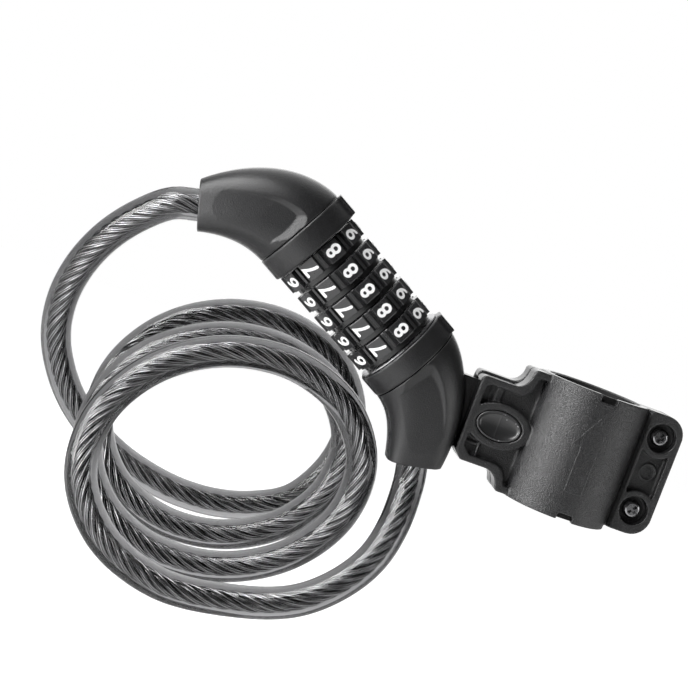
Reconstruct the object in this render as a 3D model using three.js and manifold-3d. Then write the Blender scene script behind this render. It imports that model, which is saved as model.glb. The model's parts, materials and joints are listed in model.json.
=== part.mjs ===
// Five-dial cable lock hanging in its tube bracket. Millimetres, +Z up.
// The origin is the centre of the clamp bore: +Z runs up the tube, +X points to the
// screw flange, and the numbered side of the lock faces -Y.
import * as THREE from 'three';
import { mergeVertices } from 'three/addons/utils/BufferGeometryUtils.js';
import Module from 'manifold-3d';

const wasm = await Module();
wasm.setup();

// ---- driving dimensions -------------------------------------------------------------
const GAP = 0.3; // between parts that touch or run on each other
const SLIDE_GAP = 0.4; // round parts that slide in and out by hand
const ROUND_SIDES = 48; // facets of the large round parts
const RING_POINTS = 24; // points round an elbow

// bracket
const TUBE_DIAMETER = 31.8;
const LINER_WALL = 1.6;
const BARREL_WALL = 3.3;
const CLAMP_HEIGHT = 48.6;
const SPLIT_GAP = 0.6; // open line between the two shells
const FLANGE_REACH = 36.1; // bore axis to the outer edge of the screw flange
const FLANGE_ROOT = 20.8; // bore axis to the step up to the flange face
const FLANGE_HALF_THICKNESS = 8;
const FLANGE_CORNER = 7.5;
const FLANGE_INSET = 1.6; // bottom end of the flange above the bottom of the barrel
const SCREW_X = 28.4;
const SCREW_SPACING = 29;
const SCREW_Z = 0.9; // middle of the two screws
const SCREW_SHANK = 3.9;
const SCREW_HEAD = 6.8;
const SCREW_HEAD_HEIGHT = 2.5;
const COUNTERBORE = 11;
const COUNTERBORE_DEPTH = 4.4;
const NUT_ACROSS = 7;
const NUT_THICKNESS = 2.7;
const LUG_REACH = 43.8; // bore axis to the open end of the lug
const LUG_HALF_HEIGHT = 16.4;
const LUG_Z = -0.7;
const LUG_HALF_THICKNESS = 9;
const LUG_WALL = 2.7;
const LUG_SHOULDER = 4.8; // how far the lug steps in from the barrel before it narrows
const REAR_LUG_RISE = 0.8; // top of the rear lug above the front one
const LUG_END_DROP = 0.4; // barrel side of the lug below the barrel ends
const POCKET_DEPTH = 3.9;
const FLANGE_POCKET_DEPTH = 3;
const NOTCH_WIDTH = 6;
const NOTCH_DEPTH = 2.6;
const NOTCH_X = 0.8;

// tongue of the lock and the receiver in the bracket
const TONGUE_THICKNESS = 8;
const TONGUE_Y = 1.8; // middle of the tongue
const TONGUE_HEIGHT = 27;
const TONGUE_TIP_X = -22;
const TONGUE_ROOT_X = -55;
const TONGUE_BRIDGE = 4.2; // bar at the tip that the latch holds
const LAND_GAP = 0.5; // flat land of the elbow to the end of the lug
const WINDOW_LENGTH = 12.3;
const WINDOW_HEIGHT = 16;

// release button
const BUTTON_FROM_LUG_END = 12.4; // button's middle to the open end of the lug
const BUTTON_WIDTH = 17.4;
const BUTTON_HEIGHT = 11;
const BUTTON_CAP = 4; // thickness of the oval cap
const BUTTON_DISH = 1.7;
const BUTTON_FLANGE_LENGTH = 10.4;
const BUTTON_FLANGE_HEIGHT = 14.8;
const BUTTON_FLANGE_THICKNESS = 1.2;
const BUTTON_RING = 3.5; // wall round the button
const SPRING_THICKNESS = 0.5;
const SPRING_WIDTH = 8;

// lock body: x runs along the dial axis towards the fixed end
const LOCK_CENTRE = new THREE.Vector3(-96.8, 0, 26.2);
const LOCK_TILT = 29.4; // degrees, dial axis below the horizontal
const DIAL_COUNT = 5;
const DIAL_PITCH = 9.4;
const DIAL_RADIUS = 17;
const DIAL_FACE = 7.1; // wide part of a dial, along the axis
const DIAL_NECK_RADIUS = 15.2;
const DIAL_GROOVE_DEPTH = 1.5;
const DIGITS = 10;
const PAD_WIDTH = 6.6;
const RIB_WIDTH = 1.2;
const RIB_DROP = 0.4; // rib top below the pads
const INDEX_ANGLE = 4; // degrees, index tab towards the front
const COLLAR_RADIUS = 18.5;
const COLLAR_LENGTH = 8.6;
const TAB_WIDTH = 9;
const TAB_REACH = 20.6;
const ELBOW_ROOT_RADIUS = 18;
const MOUTH_FLATTENING = 0.8; // how much deeper than wide the mouth is, each side
// Bezier handles and end of each elbow's outer and inner edge, measured from its root.
const BENDS = {
  plug: { outer: [[14, 17], [29, 6], [36.8, -15.4]], inner: [[9, -18.5], [17, -23], [23.2, -29]] },
  fixed: { outer: [[12.5, 16.4], [28, 3.5], [36.2, -17.7]], inner: [[8, -18.8], [14, -24], [20, -31]] },
};
const FIN_HEIGHT = 0.9;

// lock mechanism
const BOLT_RADIUS = 3.4;
const TOOTH_RADIUS = 7;
const TOOTH_WIDTH = 2.6;
const TOOTH_LENGTH = 2.4;
const CORE_WALL = 1.7;
const CLUTCH_RADIUS = 9.7;
const CLUTCH_LENGTH = 5;
const DETENT_STRIP = 0.4;
const DETENT_WIDTH = 2.6;
const DETENT_GROOVE = 1.1; // depth of its groove in the core
const SLEEVE_RADIUS = 8;
const SLEEVE_LENGTH = 2.8;
const CLIP_THICKNESS = 0.8;
const CLIP_GROOVE = 0.5;
const WASHER_THICKNESS = 0.4;
const PIN_RADIUS = 1.5;
const PIN_FRONT = -8; // cross pins are driven in from behind and stop here
const PIN_BACK = 11.5;

// cable
const CABLE_DIAMETER = 12;
const ROPE_DIAMETER = 5.3;
const CABLE_SIDES = 8;
const CABLE_STEPS = 60;
const SHEATH_GRIP = 9; // length of sheath inside an elbow
const FERRULE_LENGTH = 12;
const FERRULE_RADIUS = 5.8;
const FERRULE_CUP = 5.7; // depth of the bore that holds the rope
const STRAIGHT_OUT = 9; // straight run of the cable in front of a mouth
const TURNS = 3;
const TURN_POINTS = 12;
const COIL_TILT = 19.5; // degrees, long axis of the turns above the horizontal
const TURN_ADVANCE = 24; // towards the front, each turn
const COIL_BACK_Y = 54;
// Middle, half width and half height of the coil: the value at its middle turn, its
// change each turn, and its change with the turns squared.
const COIL_X = [-125, 2.3, 2];
const COIL_Z = [-46.4, -5, 1.8];
const COIL_HALF_WIDTH = [49.6, 1.7, 1.4];
const COIL_HALF_HEIGHT = [41.7, 0.9, 0.9];

const BEYOND = 60; // how far a cutter reaches past the part

// ---- sizes worked out from them -----------------------------------------------------
const linerInner = TUBE_DIAMETER / 2;
const linerOuter = linerInner + LINER_WALL;
const boreRadius = linerOuter + GAP;
const barrelRadius = boreRadius + BARREL_WALL;
const clampTop = CLAMP_HEIGHT / 2;
const buttonX = BUTTON_FROM_LUG_END - LUG_REACH;
const splitHalf = SPLIT_GAP / 2;
const coreInner = BOLT_RADIUS + SLIDE_GAP;
const coreOuter = coreInner + CORE_WALL;
const clutchInner = coreOuter + GAP;
const stackHalf = (DIAL_COUNT * DIAL_PITCH) / 2;
const dialLength = DIAL_PITCH - GAP;
const lowerCollarStart = stackHalf + WASHER_THICKNESS + GAP;
const collarEnd = stackHalf + COLLAR_LENGTH + WASHER_THICKNESS + GAP;
const elbowStart = collarEnd + GAP;
const sheathRadius = CABLE_DIAMETER / 2;
const mouthBore = sheathRadius + SLIDE_GAP;
const tongueFront = TONGUE_Y - TONGUE_THICKNESS / 2;
const tongueBack = TONGUE_Y + TONGUE_THICKNESS / 2;
const windowRight = TONGUE_TIP_X - TONGUE_BRIDGE;
const windowLeft = windowRight - WINDOW_LENGTH;

// ---- geometry helpers ---------------------------------------------------------------

/** Keep positions only, weld them, and turn the faces outwards. */
function closed(geometry) {
  const bare = geometry.clone();
  for (const name of ['normal', 'uv']) bare.deleteAttribute(name);
  const welded = mergeVertices(bare, 1e-4);
  const index = Array.from(welded.index.array);
  const at = welded.attributes.position;
  const kept = [];
  let volume = 0;
  const [a, b, c] = [new THREE.Vector3(), new THREE.Vector3(), new THREE.Vector3()];
  for (let i = 0; i < index.length; i += 3) {
    const [p, q, r] = index.slice(i, i + 3);
    if (p === q || q === r || r === p) continue;
    kept.push([p, q, r]);
    a.fromBufferAttribute(at, p);
    b.fromBufferAttribute(at, q);
    c.fromBufferAttribute(at, r);
    volume += a.dot(b.cross(c));
  }
  const faces = volume < 0 ? kept.map(([p, q, r]) => [p, r, q]) : kept;
  welded.setIndex(faces.flat());
  return welded;
}

/** A closed geometry as a manifold solid. */
function solid(geometry) {
  const mesh = closed(geometry);
  return new wasm.Manifold(new wasm.Mesh({
    numProp: 3,
    vertProperties: new Float32Array(mesh.attributes.position.array),
    triVerts: new Uint32Array(mesh.index.array),
  }));
}

/** A manifold solid back as a geometry. */
function geometryOf(shape) {
  const mesh = shape.getMesh();
  const geometry = new THREE.BufferGeometry();
  geometry.setAttribute('position', new THREE.BufferAttribute(mesh.vertProperties, 3));
  geometry.setIndex(new THREE.BufferAttribute(mesh.triVerts, 1));
  return geometry;
}

/** A box between two corners. */
function block(x0, x1, y0, y1, z0, z1) {
  const box = new THREE.BoxGeometry(x1 - x0, y1 - y0, z1 - z0);
  return box.translate((x0 + x1) / 2, (y0 + y1) / 2, (z0 + z1) / 2);
}

/** A cylinder along an axis ('x', 'y' or 'z') from one place to another on it. */
function rod(axis, radius, from, to, u = 0, v = 0, sides = 24) {
  const geometry = new THREE.CylinderGeometry(radius, radius, to - from, sides);
  geometry.translate(0, (from + to) / 2, 0);
  if (axis === 'x') return geometry.rotateZ(-Math.PI / 2).translate(0, u, v);
  if (axis === 'z') return geometry.rotateX(Math.PI / 2).translate(u, v, 0);
  return geometry.translate(u, 0, v);
}

/** A shape drawn in X and Z, given thickness between two Y values. */
function plateY(shape, y0, y1, curveSegments = 10) {
  const options = { depth: y1 - y0, bevelEnabled: false, curveSegments };
  return new THREE.ExtrudeGeometry(shape, options).rotateX(Math.PI / 2).translate(0, y1, 0);
}

/** A shape drawn across the dial axis (first value Y, second Z), between two X values. */
function plateX(shape, x0, x1, curveSegments = 10) {
  const options = { depth: x1 - x0, bevelEnabled: false, curveSegments };
  const turn = new THREE.Matrix4().set(0, 0, 1, x0, 1, 0, 0, 0, 0, 1, 0, 0, 0, 0, 0, 1);
  return new THREE.ExtrudeGeometry(shape, options).applyMatrix4(turn);
}

/** A closed shape through corner points. */
function outline(points) {
  return new THREE.Shape(points.map(([x, y]) => new THREE.Vector2(x, y)));
}

/** An ellipse as a shape. */
function ellipse(x, y, rx, ry) {
  return new THREE.Shape().absellipse(x, y, rx, ry, 0, 2 * Math.PI);
}

/** A ring across the dial axis. */
function ringX(inner, outer, x0, x1, sides = 24) {
  const profile = [[inner, x0], [outer, x0], [outer, x1], [inner, x1], [inner, x0]];
  const points = profile.map(([r, x]) => new THREE.Vector2(r, x));
  return new THREE.LatheGeometry(points, sides).rotateZ(-Math.PI / 2);
}

/** Skin a row of closed rings, with a flat fan on both ends. */
function loft(rings) {
  const count = rings[0].length;
  const points = rings.flat();
  const index = [];
  for (let i = 0; i < rings.length - 1; i += 1) {
    for (let j = 0; j < count; j += 1) {
      const next = (j + 1) % count;
      const [a, b] = [i * count + j, i * count + next];
      index.push(a, b, b + count, a, b + count, a + count);
    }
  }
  for (const end of [0, rings.length - 1]) {
    const middle = new THREE.Vector3();
    for (const point of rings[end]) middle.addScaledVector(point, 1 / count);
    points.push(middle);
    for (let j = 0; j < count; j += 1) {
      const [a, b] = [end * count + j, end * count + ((j + 1) % count)];
      index.push(points.length - 1, ...(end ? [a, b] : [b, a]));
    }
  }
  const geometry = new THREE.BufferGeometry().setFromPoints(points);
  geometry.setIndex(index);
  return geometry;
}

/** Cut or add a list of geometries in turn. */
const cut = (body, tools) => tools.reduce((shape, tool) => shape.subtract(solid(tool)), body);
const join = (body, tools) => tools.reduce((shape, tool) => shape.add(solid(tool)), body);

// ---- finishes -----------------------------------------------------------------------
const finish = (color, roughness, metalness = 0) => () =>
  new THREE.MeshStandardMaterial({ color, roughness, metalness });
const blackPlastic = finish(0x1d1d1e, 0.5);
const bracketPlastic = finish(0x232325, 0.62);
const dialPlastic = finish(0x131314, 0.34);
const rubber = finish(0x151515, 0.85);
const steel = finish(0xb9bbbd, 0.3, 1);
const darkSteel = finish(0x3a3b3d, 0.38, 1);
const sheathPlastic = finish(0x55585a, 0.2);

const part = new THREE.Group();
const lock = new THREE.Group();
lock.position.copy(LOCK_CENTRE);
lock.rotation.y = THREE.MathUtils.degToRad(LOCK_TILT);
part.add(lock);
lock.updateMatrixWorld(true);

/** Put one named piece into a group. */
function piece(group, name, geometry, material) {
  const mesh = new THREE.Mesh(geometry, material());
  mesh.name = name;
  group.add(mesh);
}

/** A point of the lock body in the part's frame. */
const lockPoint = (x, y, z) => new THREE.Vector3(x, y, z).applyMatrix4(lock.matrixWorld);

// ---- bracket ------------------------------------------------------------------------

/** The outline of the lug seen from the front, drawn in by an inset, its top raised. */
function lugOutline(inset, rise = 0) {
  const left = -LUG_REACH + inset;
  const top = LUG_Z + LUG_HALF_HEIGHT - inset + rise;
  const bottom = LUG_Z - LUG_HALF_HEIGHT + inset;
  const shoulder = -barrelRadius - LUG_SHOULDER + inset;
  const high = clampTop - LUG_END_DROP - inset;
  const right = -boreRadius;
  const shape = new THREE.Shape();
  shape.moveTo(right, high);
  shape.lineTo(shoulder + 2, high);
  shape.quadraticCurveTo(shoulder + 0.2, high, shoulder, high - 1.6);
  shape.bezierCurveTo(shoulder - 0.1, high - 5, shoulder - 2, top, shoulder - 5.4, top);
  shape.lineTo(left + 2.4, top);
  shape.quadraticCurveTo(left, top, left, top - 2.6);
  shape.lineTo(left, bottom + 3);
  shape.lineTo(left + 3, bottom);
  shape.lineTo(shoulder - 5, bottom);
  shape.bezierCurveTo(shoulder - 1.2, bottom, shoulder + 0.6, bottom - 3, shoulder + 1, -high + 1);
  shape.lineTo(shoulder + 2, -high);
  shape.lineTo(right, -high);
  shape.closePath();
  return shape;
}

/** The screw flange seen from the front: two large round corners. */
function flangeOutline() {
  const [left, right] = [FLANGE_ROOT, FLANGE_REACH];
  const [low, high] = [-clampTop + FLANGE_INSET, clampTop];
  const r = FLANGE_CORNER;
  const shape = new THREE.Shape();
  shape.moveTo(left, low);
  shape.lineTo(right - r, low);
  shape.absarc(right - r, low + r, r, -Math.PI / 2, 0, false);
  shape.absarc(right - r, high - r, r, 0, Math.PI / 2, false);
  shape.lineTo(left, high);
  shape.closePath();
  return shape;
}

const screwHeights = [SCREW_Z + SCREW_SPACING / 2, SCREW_Z - SCREW_SPACING / 2];

/** Barrel, lug and flange of one shell; side is -1 in front and 1 behind. */
function shellBlank(side) {
  const [flangeFace, lugFace] = [side * FLANGE_HALF_THICKNESS, side * LUG_HALF_THICKNESS];
  const barrel = solid(rod('z', barrelRadius, -clampTop, clampTop, 0, 0, ROUND_SIDES));
  const blank = join(barrel, [
    plateY(lugOutline(0, side > 0 ? REAR_LUG_RISE : 0), Math.min(lugFace, 0), Math.max(lugFace, 0)),
    plateY(flangeOutline(), Math.min(flangeFace, 0), Math.max(flangeFace, 0)),
  ]);
  const far = side * (barrelRadius + 1);
  const half = block(-BEYOND, BEYOND, Math.min(side * splitHalf, far), Math.max(side * splitHalf, far),
    -BEYOND, BEYOND);
  const receiver = block(
    -LUG_REACH - 1, TONGUE_TIP_X + SLIDE_GAP,
    tongueFront - SLIDE_GAP, tongueBack + SLIDE_GAP,
    LUG_Z - TONGUE_HEIGHT / 2 - SLIDE_GAP, LUG_Z + TONGUE_HEIGHT / 2 + SLIDE_GAP,
  );
  const holes = screwHeights.map((z) => rod('y', SCREW_SHANK / 2 + GAP, -20, 20, SCREW_X, z, 20));
  const bore = rod('z', boreRadius, -clampTop - 1, clampTop + 1, 0, 0, ROUND_SIDES);
  return cut(blank.intersect(solid(half)), [bore, receiver, ...holes]);
}

/** The front shell: button ring, pockets, counterbores, key notches. */
function frontShell() {
  const face = -LUG_HALF_THICKNESS;
  const [rx, ry] = [BUTTON_WIDTH / 2 + GAP, BUTTON_HEIGHT / 2 + GAP];
  const ringWall = ellipse(buttonX, LUG_Z, rx + BUTTON_RING, ry + BUTTON_RING - 0.8);
  const spurRoot = buttonX + BUTTON_WIDTH / 2;
  const spurHalf = BUTTON_HEIGHT / 2 - 0.7;
  const spurTip = -barrelRadius + 1.5;
  const spur = outline([[spurRoot, LUG_Z + spurHalf], [spurTip, LUG_Z], [spurRoot, LUG_Z - spurHalf]]);
  const pocketFloor = face + POCKET_DEPTH;
  let pockets = solid(plateY(lugOutline(LUG_WALL), face - 1, pocketFloor));
  pockets = cut(pockets, [
    plateY(ringWall, face - 2, 0),
    plateY(spur, face - 2, 0),
    rod('z', barrelRadius, -clampTop - 1, clampTop + 1, 0, 0, ROUND_SIDES),
  ]);
  const flangeFace = -FLANGE_HALF_THICKNESS;
  const flangePocketEdge = COUNTERBORE / 2 + 2.2;
  let hourglass = solid(block(
    barrelRadius + 1.8, FLANGE_REACH - 2.6,
    flangeFace - 1, flangeFace + FLANGE_POCKET_DEPTH,
    screwHeights[1] + 3, screwHeights[0] - 3,
  ));
  hourglass = cut(hourglass, screwHeights.map((z) => rod('y', flangePocketEdge, -20, 0, SCREW_X, z)));
  const counterbores = screwHeights.map((z) =>
    rod('y', COUNTERBORE / 2, flangeFace - 1, flangeFace + COUNTERBORE_DEPTH, SCREW_X, z));
  const notches = [-1, 1].map((end) => {
    const [near, far] = [end * (clampTop - NOTCH_DEPTH), end * (clampTop + 1)];
    return block(
      NOTCH_X - NOTCH_WIDTH / 2, NOTCH_X + NOTCH_WIDTH / 2, -barrelRadius - 1, -boreRadius + 1,
      Math.min(near, far), Math.max(near, far),
    );
  });
  const seat = tongueFront - SLIDE_GAP;
  const buttonHole = plateY(ellipse(buttonX, LUG_Z, rx, ry), face - 1, seat + 0.5);
  const flangeRoom = block(
    buttonX - BUTTON_FLANGE_LENGTH / 2 - SLIDE_GAP + 0.6, buttonX + BUTTON_FLANGE_LENGTH / 2 + SLIDE_GAP,
    seat - BUTTON_FLANGE_THICKNESS - 2 * GAP, seat + 0.5,
    LUG_Z - BUTTON_FLANGE_HEIGHT / 2 - SLIDE_GAP, LUG_Z + BUTTON_FLANGE_HEIGHT / 2 + SLIDE_GAP,
  );
  return cut(shellBlank(-1).subtract(pockets).subtract(hourglass), [
    ...counterbores, ...notches, buttonHole, flangeRoom,
  ]);
}

/** The rear shell: nut pockets and the bed of the latch spring. */
function rearShell() {
  const nutFloor = FLANGE_HALF_THICKNESS - NUT_THICKNESS - 2 * GAP;
  const nutRadius = (NUT_ACROSS / 2 + GAP) / Math.cos(Math.PI / 6);
  const nuts = screwHeights.map((z) =>
    rod('y', nutRadius, nutFloor, FLANGE_HALF_THICKNESS + 1, SCREW_X, z, 6));
  const bed = block(
    windowLeft - 0.5, windowRight + 0.5, tongueBack, tongueBack + SLIDE_GAP + 1.2,
    LUG_Z - SPRING_WIDTH / 2 - 0.6, LUG_Z + SPRING_WIDTH / 2 + 0.6,
  );
  return cut(shellBlank(1), [...nuts, bed]);
}

/** One half of the rubber liner round the tube. */
function liner(side) {
  const ring = cut(solid(rod('z', linerOuter, -clampTop + GAP, clampTop - GAP, 0, 0, ROUND_SIDES)), [
    rod('z', linerInner, -clampTop, clampTop, 0, 0, ROUND_SIDES),
  ]);
  const far = side * (linerOuter + 1);
  const near = side * splitHalf;
  return ring.intersect(solid(
    block(-BEYOND, BEYOND, Math.min(near, far), Math.max(near, far), -BEYOND, BEYOND),
  ));
}

/** A pan-head screw with a cross recess, its head at the counterbore floor. */
function clampScrew(z) {
  const seat = -FLANGE_HALF_THICKNESS + COUNTERBORE_DEPTH - GAP;
  const top = seat - SCREW_HEAD_HEIGHT;
  const nutEnd = FLANGE_HALF_THICKNESS - GAP;
  const body = join(solid(rod('y', SCREW_SHANK / 2, seat - 0.5, nutEnd, SCREW_X, z, 16)), [
    rod('y', SCREW_HEAD / 2, top, seat, SCREW_X, z, 24),
  ]);
  const [arm, width] = [2.1, 0.5];
  return cut(body, [
    block(SCREW_X - arm, SCREW_X + arm, top - 1, top + 1.2, z - width, z + width),
    block(SCREW_X - width, SCREW_X + width, top - 1, top + 1.2, z - arm, z + arm),
  ]);
}

/** A hexagon nut in its pocket. */
function clampNut(z) {
  const start = FLANGE_HALF_THICKNESS - NUT_THICKNESS - GAP;
  const nutRadius = NUT_ACROSS / 2 / Math.cos(Math.PI / 6);
  return cut(solid(rod('y', nutRadius, start, start + NUT_THICKNESS, SCREW_X, z, 6)), [
    rod('y', SCREW_SHANK / 2 + GAP, 0, 20, SCREW_X, z, 16),
  ]);
}

/** The oval button: dished cap with a flange behind that keeps it in. */
function releaseButton() {
  const face = -LUG_HALF_THICKNESS;
  const seat = tongueFront - SLIDE_GAP - GAP;
  const flangeTop = seat - BUTTON_FLANGE_THICKNESS;
  const oval = ellipse(buttonX, LUG_Z, BUTTON_WIDTH / 2, BUTTON_HEIGHT / 2);
  const cap = plateY(oval, face, face + BUTTON_CAP, 9);
  const [halfLength, halfHeight] = [BUTTON_FLANGE_LENGTH / 2, BUTTON_FLANGE_HEIGHT / 2];
  const neck = block(
    buttonX - halfLength + 0.6, buttonX + halfLength, face + BUTTON_CAP - 0.5, seat,
    LUG_Z - BUTTON_HEIGHT / 2 + 1.6, LUG_Z + BUTTON_HEIGHT / 2 - 1.6,
  );
  const flange = block(
    buttonX - halfLength + 0.6, buttonX + halfLength, flangeTop, seat,
    LUG_Z - halfHeight, LUG_Z + halfHeight,
  );
  const dish = new THREE.SphereGeometry(1, 20, 8);
  dish.scale(BUTTON_WIDTH / 2 - 0.5, BUTTON_DISH, BUTTON_HEIGHT / 2 - 0.5);
  dish.translate(buttonX, face, LUG_Z);
  return join(solid(cap), [neck, flange]).subtract(solid(dish));
}

/** A bent leaf spring: flat foot, and a ramp whose nose stands in the tongue window. */
function latchSpring() {
  const foot = tongueBack + SLIDE_GAP + 1.2 - GAP;
  const nose = tongueFront + 0.4;
  const t = SPRING_THICKNESS;
  const [left, right] = [windowLeft + 0.8, windowRight - 0.8];
  const shape = new THREE.Shape();
  shape.moveTo(right, foot);
  shape.lineTo(left, foot);
  shape.lineTo(left, foot - 3 * t);
  shape.lineTo(right - 0.6, nose);
  shape.lineTo(right, nose + 0.6);
  shape.lineTo(right, nose + 3);
  shape.lineTo(right - t, nose + 3);
  shape.lineTo(right - t, nose + 1.2);
  shape.lineTo(left + 2 * t, foot - 2 * t);
  shape.lineTo(left + 2 * t, foot - t);
  shape.lineTo(right, foot - t);
  shape.closePath();
  const options = { depth: SPRING_WIDTH, bevelEnabled: false };
  return new THREE.ExtrudeGeometry(shape, options).translate(0, 0, LUG_Z - SPRING_WIDTH / 2);
}

piece(part, 'front_shell', geometryOf(frontShell()), bracketPlastic);
piece(part, 'rear_shell', geometryOf(rearShell()), bracketPlastic);
piece(part, 'liner_front', geometryOf(liner(-1)), rubber);
piece(part, 'liner_rear', geometryOf(liner(1)), rubber);
for (const [i, name] of ['upper', 'lower'].entries()) {
  piece(part, `clamp_screw_${name}`, geometryOf(clampScrew(screwHeights[i])), darkSteel);
  piece(part, `clamp_nut_${name}`, geometryOf(clampNut(screwHeights[i])), darkSteel);
}
piece(part, 'release_button', geometryOf(releaseButton()), blackPlastic);
piece(part, 'latch_spring', closed(latchSpring()), steel);

// ---- elbows -------------------------------------------------------------------------

/** The edges, mouth and cable axis of one elbow; side 1 is the fixed end, -1 the plug. */
function bendOf({ outer, inner }) {
  const edge = (points, root) => new THREE.CubicBezierCurve(
    new THREE.Vector2(elbowStart, root),
    ...points.map(([x, z]) => new THREE.Vector2(elbowStart + x, z)),
  );
  const outerEdge = edge(outer, ELBOW_ROOT_RADIUS);
  const innerEdge = edge(inner, -ELBOW_ROOT_RADIUS);
  const [outerEnd, innerEnd] = [outerEdge.getPoint(1), innerEdge.getPoint(1)];
  const across = outerEnd.clone().sub(innerEnd).normalize();
  return {
    outerEdge,
    innerEdge,
    mouth: outerEnd.clone().add(innerEnd).multiplyScalar(0.5),
    out: new THREE.Vector2(across.y, -across.x),
  };
}

const bends = { 1: bendOf(BENDS.fixed), [-1]: bendOf(BENDS.plug) };

/** A point on the cable axis inside an elbow, a depth in from its mouth. */
const throat = (side, depth) => bends[side].mouth.clone().addScaledVector(bends[side].out, -depth);

/** The bent body of an elbow, swollen by a margin. */
function elbowBody(side, margin = 0) {
  const rings = [];
  const steps = 8;
  for (let i = 0; i <= steps; i += 1) {
    const t = i / steps;
    const outer = bends[side].outerEdge.getPoint(t);
    const inner = bends[side].innerEdge.getPoint(t);
    const middle = outer.clone().add(inner).multiplyScalar(0.5);
    const across = outer.clone().sub(inner).normalize();
    const half = outer.distanceTo(inner) / 2 + margin;
    const deep = half + MOUTH_FLATTENING * t * t;
    const power = 2 / (2 + 1.2 * t);
    const ring = [];
    for (let j = 0; j < RING_POINTS; j += 1) {
      const angle = (j / RING_POINTS) * 2 * Math.PI;
      const c = Math.sign(Math.cos(angle)) * Math.abs(Math.cos(angle)) ** power;
      const s = Math.sign(Math.sin(angle)) * Math.abs(Math.sin(angle)) ** power;
      const x = middle.x + across.x * half * c;
      const z = middle.y + across.y * half * c;
      ring.push(new THREE.Vector3(side * x, deep * s, z));
    }
    rings.push(ring);
  }
  return loft(rings);
}

/** The crescent fin: a boomerang band raised on the front and back of an elbow. */
function crescent(side) {
  const at = (x, z) => [side * (elbowStart + x), z];
  const shape = new THREE.Shape();
  shape.moveTo(...at(27, -10.5));
  shape.bezierCurveTo(...at(20, -2.5), ...at(10, 4), ...at(1.2, 6.6));
  shape.lineTo(...at(0.8, -13));
  shape.bezierCurveTo(...at(2.6, -7), ...at(4.2, -3), ...at(5.2, 1.2));
  shape.bezierCurveTo(...at(12, 0.8), ...at(20, -4.8), ...at(27, -10.5));
  return plateY(shape, -30, 30, 6);
}

/** A solid cylinder along the cable axis inside an elbow, between two depths. */
function throatRod(side, radius, from, to, sides = 20) {
  const start = throat(side, to);
  const end = throat(side, from);
  const geometry = new THREE.CylinderGeometry(radius, radius, to - from, sides);
  const direction = new THREE.Vector3(side * (end.x - start.x), 0, end.y - start.y).normalize();
  const upright = new THREE.Vector3(0, 1, 0);
  geometry.applyQuaternion(new THREE.Quaternion().setFromUnitVectors(upright, direction));
  return geometry.translate((side * (start.x + end.x)) / 2, 0, (start.y + end.y) / 2);
}

const ferruleStart = SHEATH_GRIP + GAP;
const ferruleEnd = ferruleStart + FERRULE_LENGTH;
const ferrulePinDepth = ferruleStart + FERRULE_CUP + (FERRULE_LENGTH - FERRULE_CUP) / 2;
const corePinX = elbowStart + 5.5;
const coreEnd = elbowStart + 11;

/** An elbow with its fin, cable throat, axial socket and pin holes. */
function elbow(side, socketRadius) {
  const body = solid(elbowBody(side));
  const fin = solid(elbowBody(side, FIN_HEIGHT)).intersect(solid(crescent(side)));
  const [socketFrom, socketTo] = [elbowStart - 1, coreEnd + GAP];
  const socket = side > 0
    ? rod('x', socketRadius, socketFrom, socketTo)
    : rod('x', socketRadius, -socketTo, -socketFrom);
  const pinAt = throat(side, ferrulePinDepth);
  return cut(body.add(fin), [
    throatRod(side, mouthBore, -1, ferruleEnd + GAP),
    socket,
    rod('y', PIN_RADIUS + GAP, PIN_FRONT - GAP, 30, side * pinAt.x, pinAt.y, 16),
    rod('y', PIN_RADIUS + GAP, PIN_FRONT - GAP, 30, side * corePinX, 0, 16),
  ]);
}

/** A collar with the index tab that marks the code line. */
function collar(side, recessRadius, recessDepth, boreR) {
  const start = side > 0 ? lowerCollarStart : stackHalf + GAP;
  const [x0, x1] = side > 0 ? [start, collarEnd] : [-collarEnd, -start];
  const tab = block(x0 + 0.3, x1 - 0.3, -TAB_WIDTH / 2, TAB_WIDTH / 2, COLLAR_RADIUS - 4, TAB_REACH);
  tab.rotateX(THREE.MathUtils.degToRad(INDEX_ANGLE));
  const recess = side > 0
    ? rod('x', recessRadius, x0 - 1, x0 + recessDepth)
    : rod('x', recessRadius, x1 - recessDepth, x1 + 1);
  return cut(join(solid(rod('x', COLLAR_RADIUS, x0, x1, 0, 0, ROUND_SIDES)), [tab]), [
    rod('x', boreR, x0 - 1, x1 + 1), recess,
  ]);
}

/** The tongue that slides into the bracket, in the part's own frame. */
function tongue() {
  return cut(solid(block(
    TONGUE_ROOT_X, TONGUE_TIP_X, tongueFront, tongueBack,
    LUG_Z - TONGUE_HEIGHT / 2, LUG_Z + TONGUE_HEIGHT / 2,
  )), [block(
    windowLeft, windowRight, tongueFront - 1, tongueBack + 1,
    LUG_Z - WINDOW_HEIGHT / 2, LUG_Z + WINDOW_HEIGHT / 2,
  )]);
}

/** The fixed elbow, with a flat land facing the lug and the tongue standing on it. */
function lowerElbow() {
  const toLock = lock.matrixWorld.clone().invert();
  const moved = geometryOf(tongue()).applyMatrix4(toLock);
  const beyondLand = block(-LUG_REACH - LAND_GAP, 0, -BEYOND, BEYOND, -BEYOND, BEYOND).applyMatrix4(toLock);
  const pinAt = throat(1, ferrulePinDepth);
  return cut(cut(elbow(1, coreOuter + GAP), [beyondLand]).add(solid(moved)), [
    throatRod(1, mouthBore, -1, ferruleEnd + GAP),
    rod('y', PIN_RADIUS + GAP, PIN_FRONT - GAP, 30, pinAt.x, pinAt.y, 16),
  ]);
}

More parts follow.
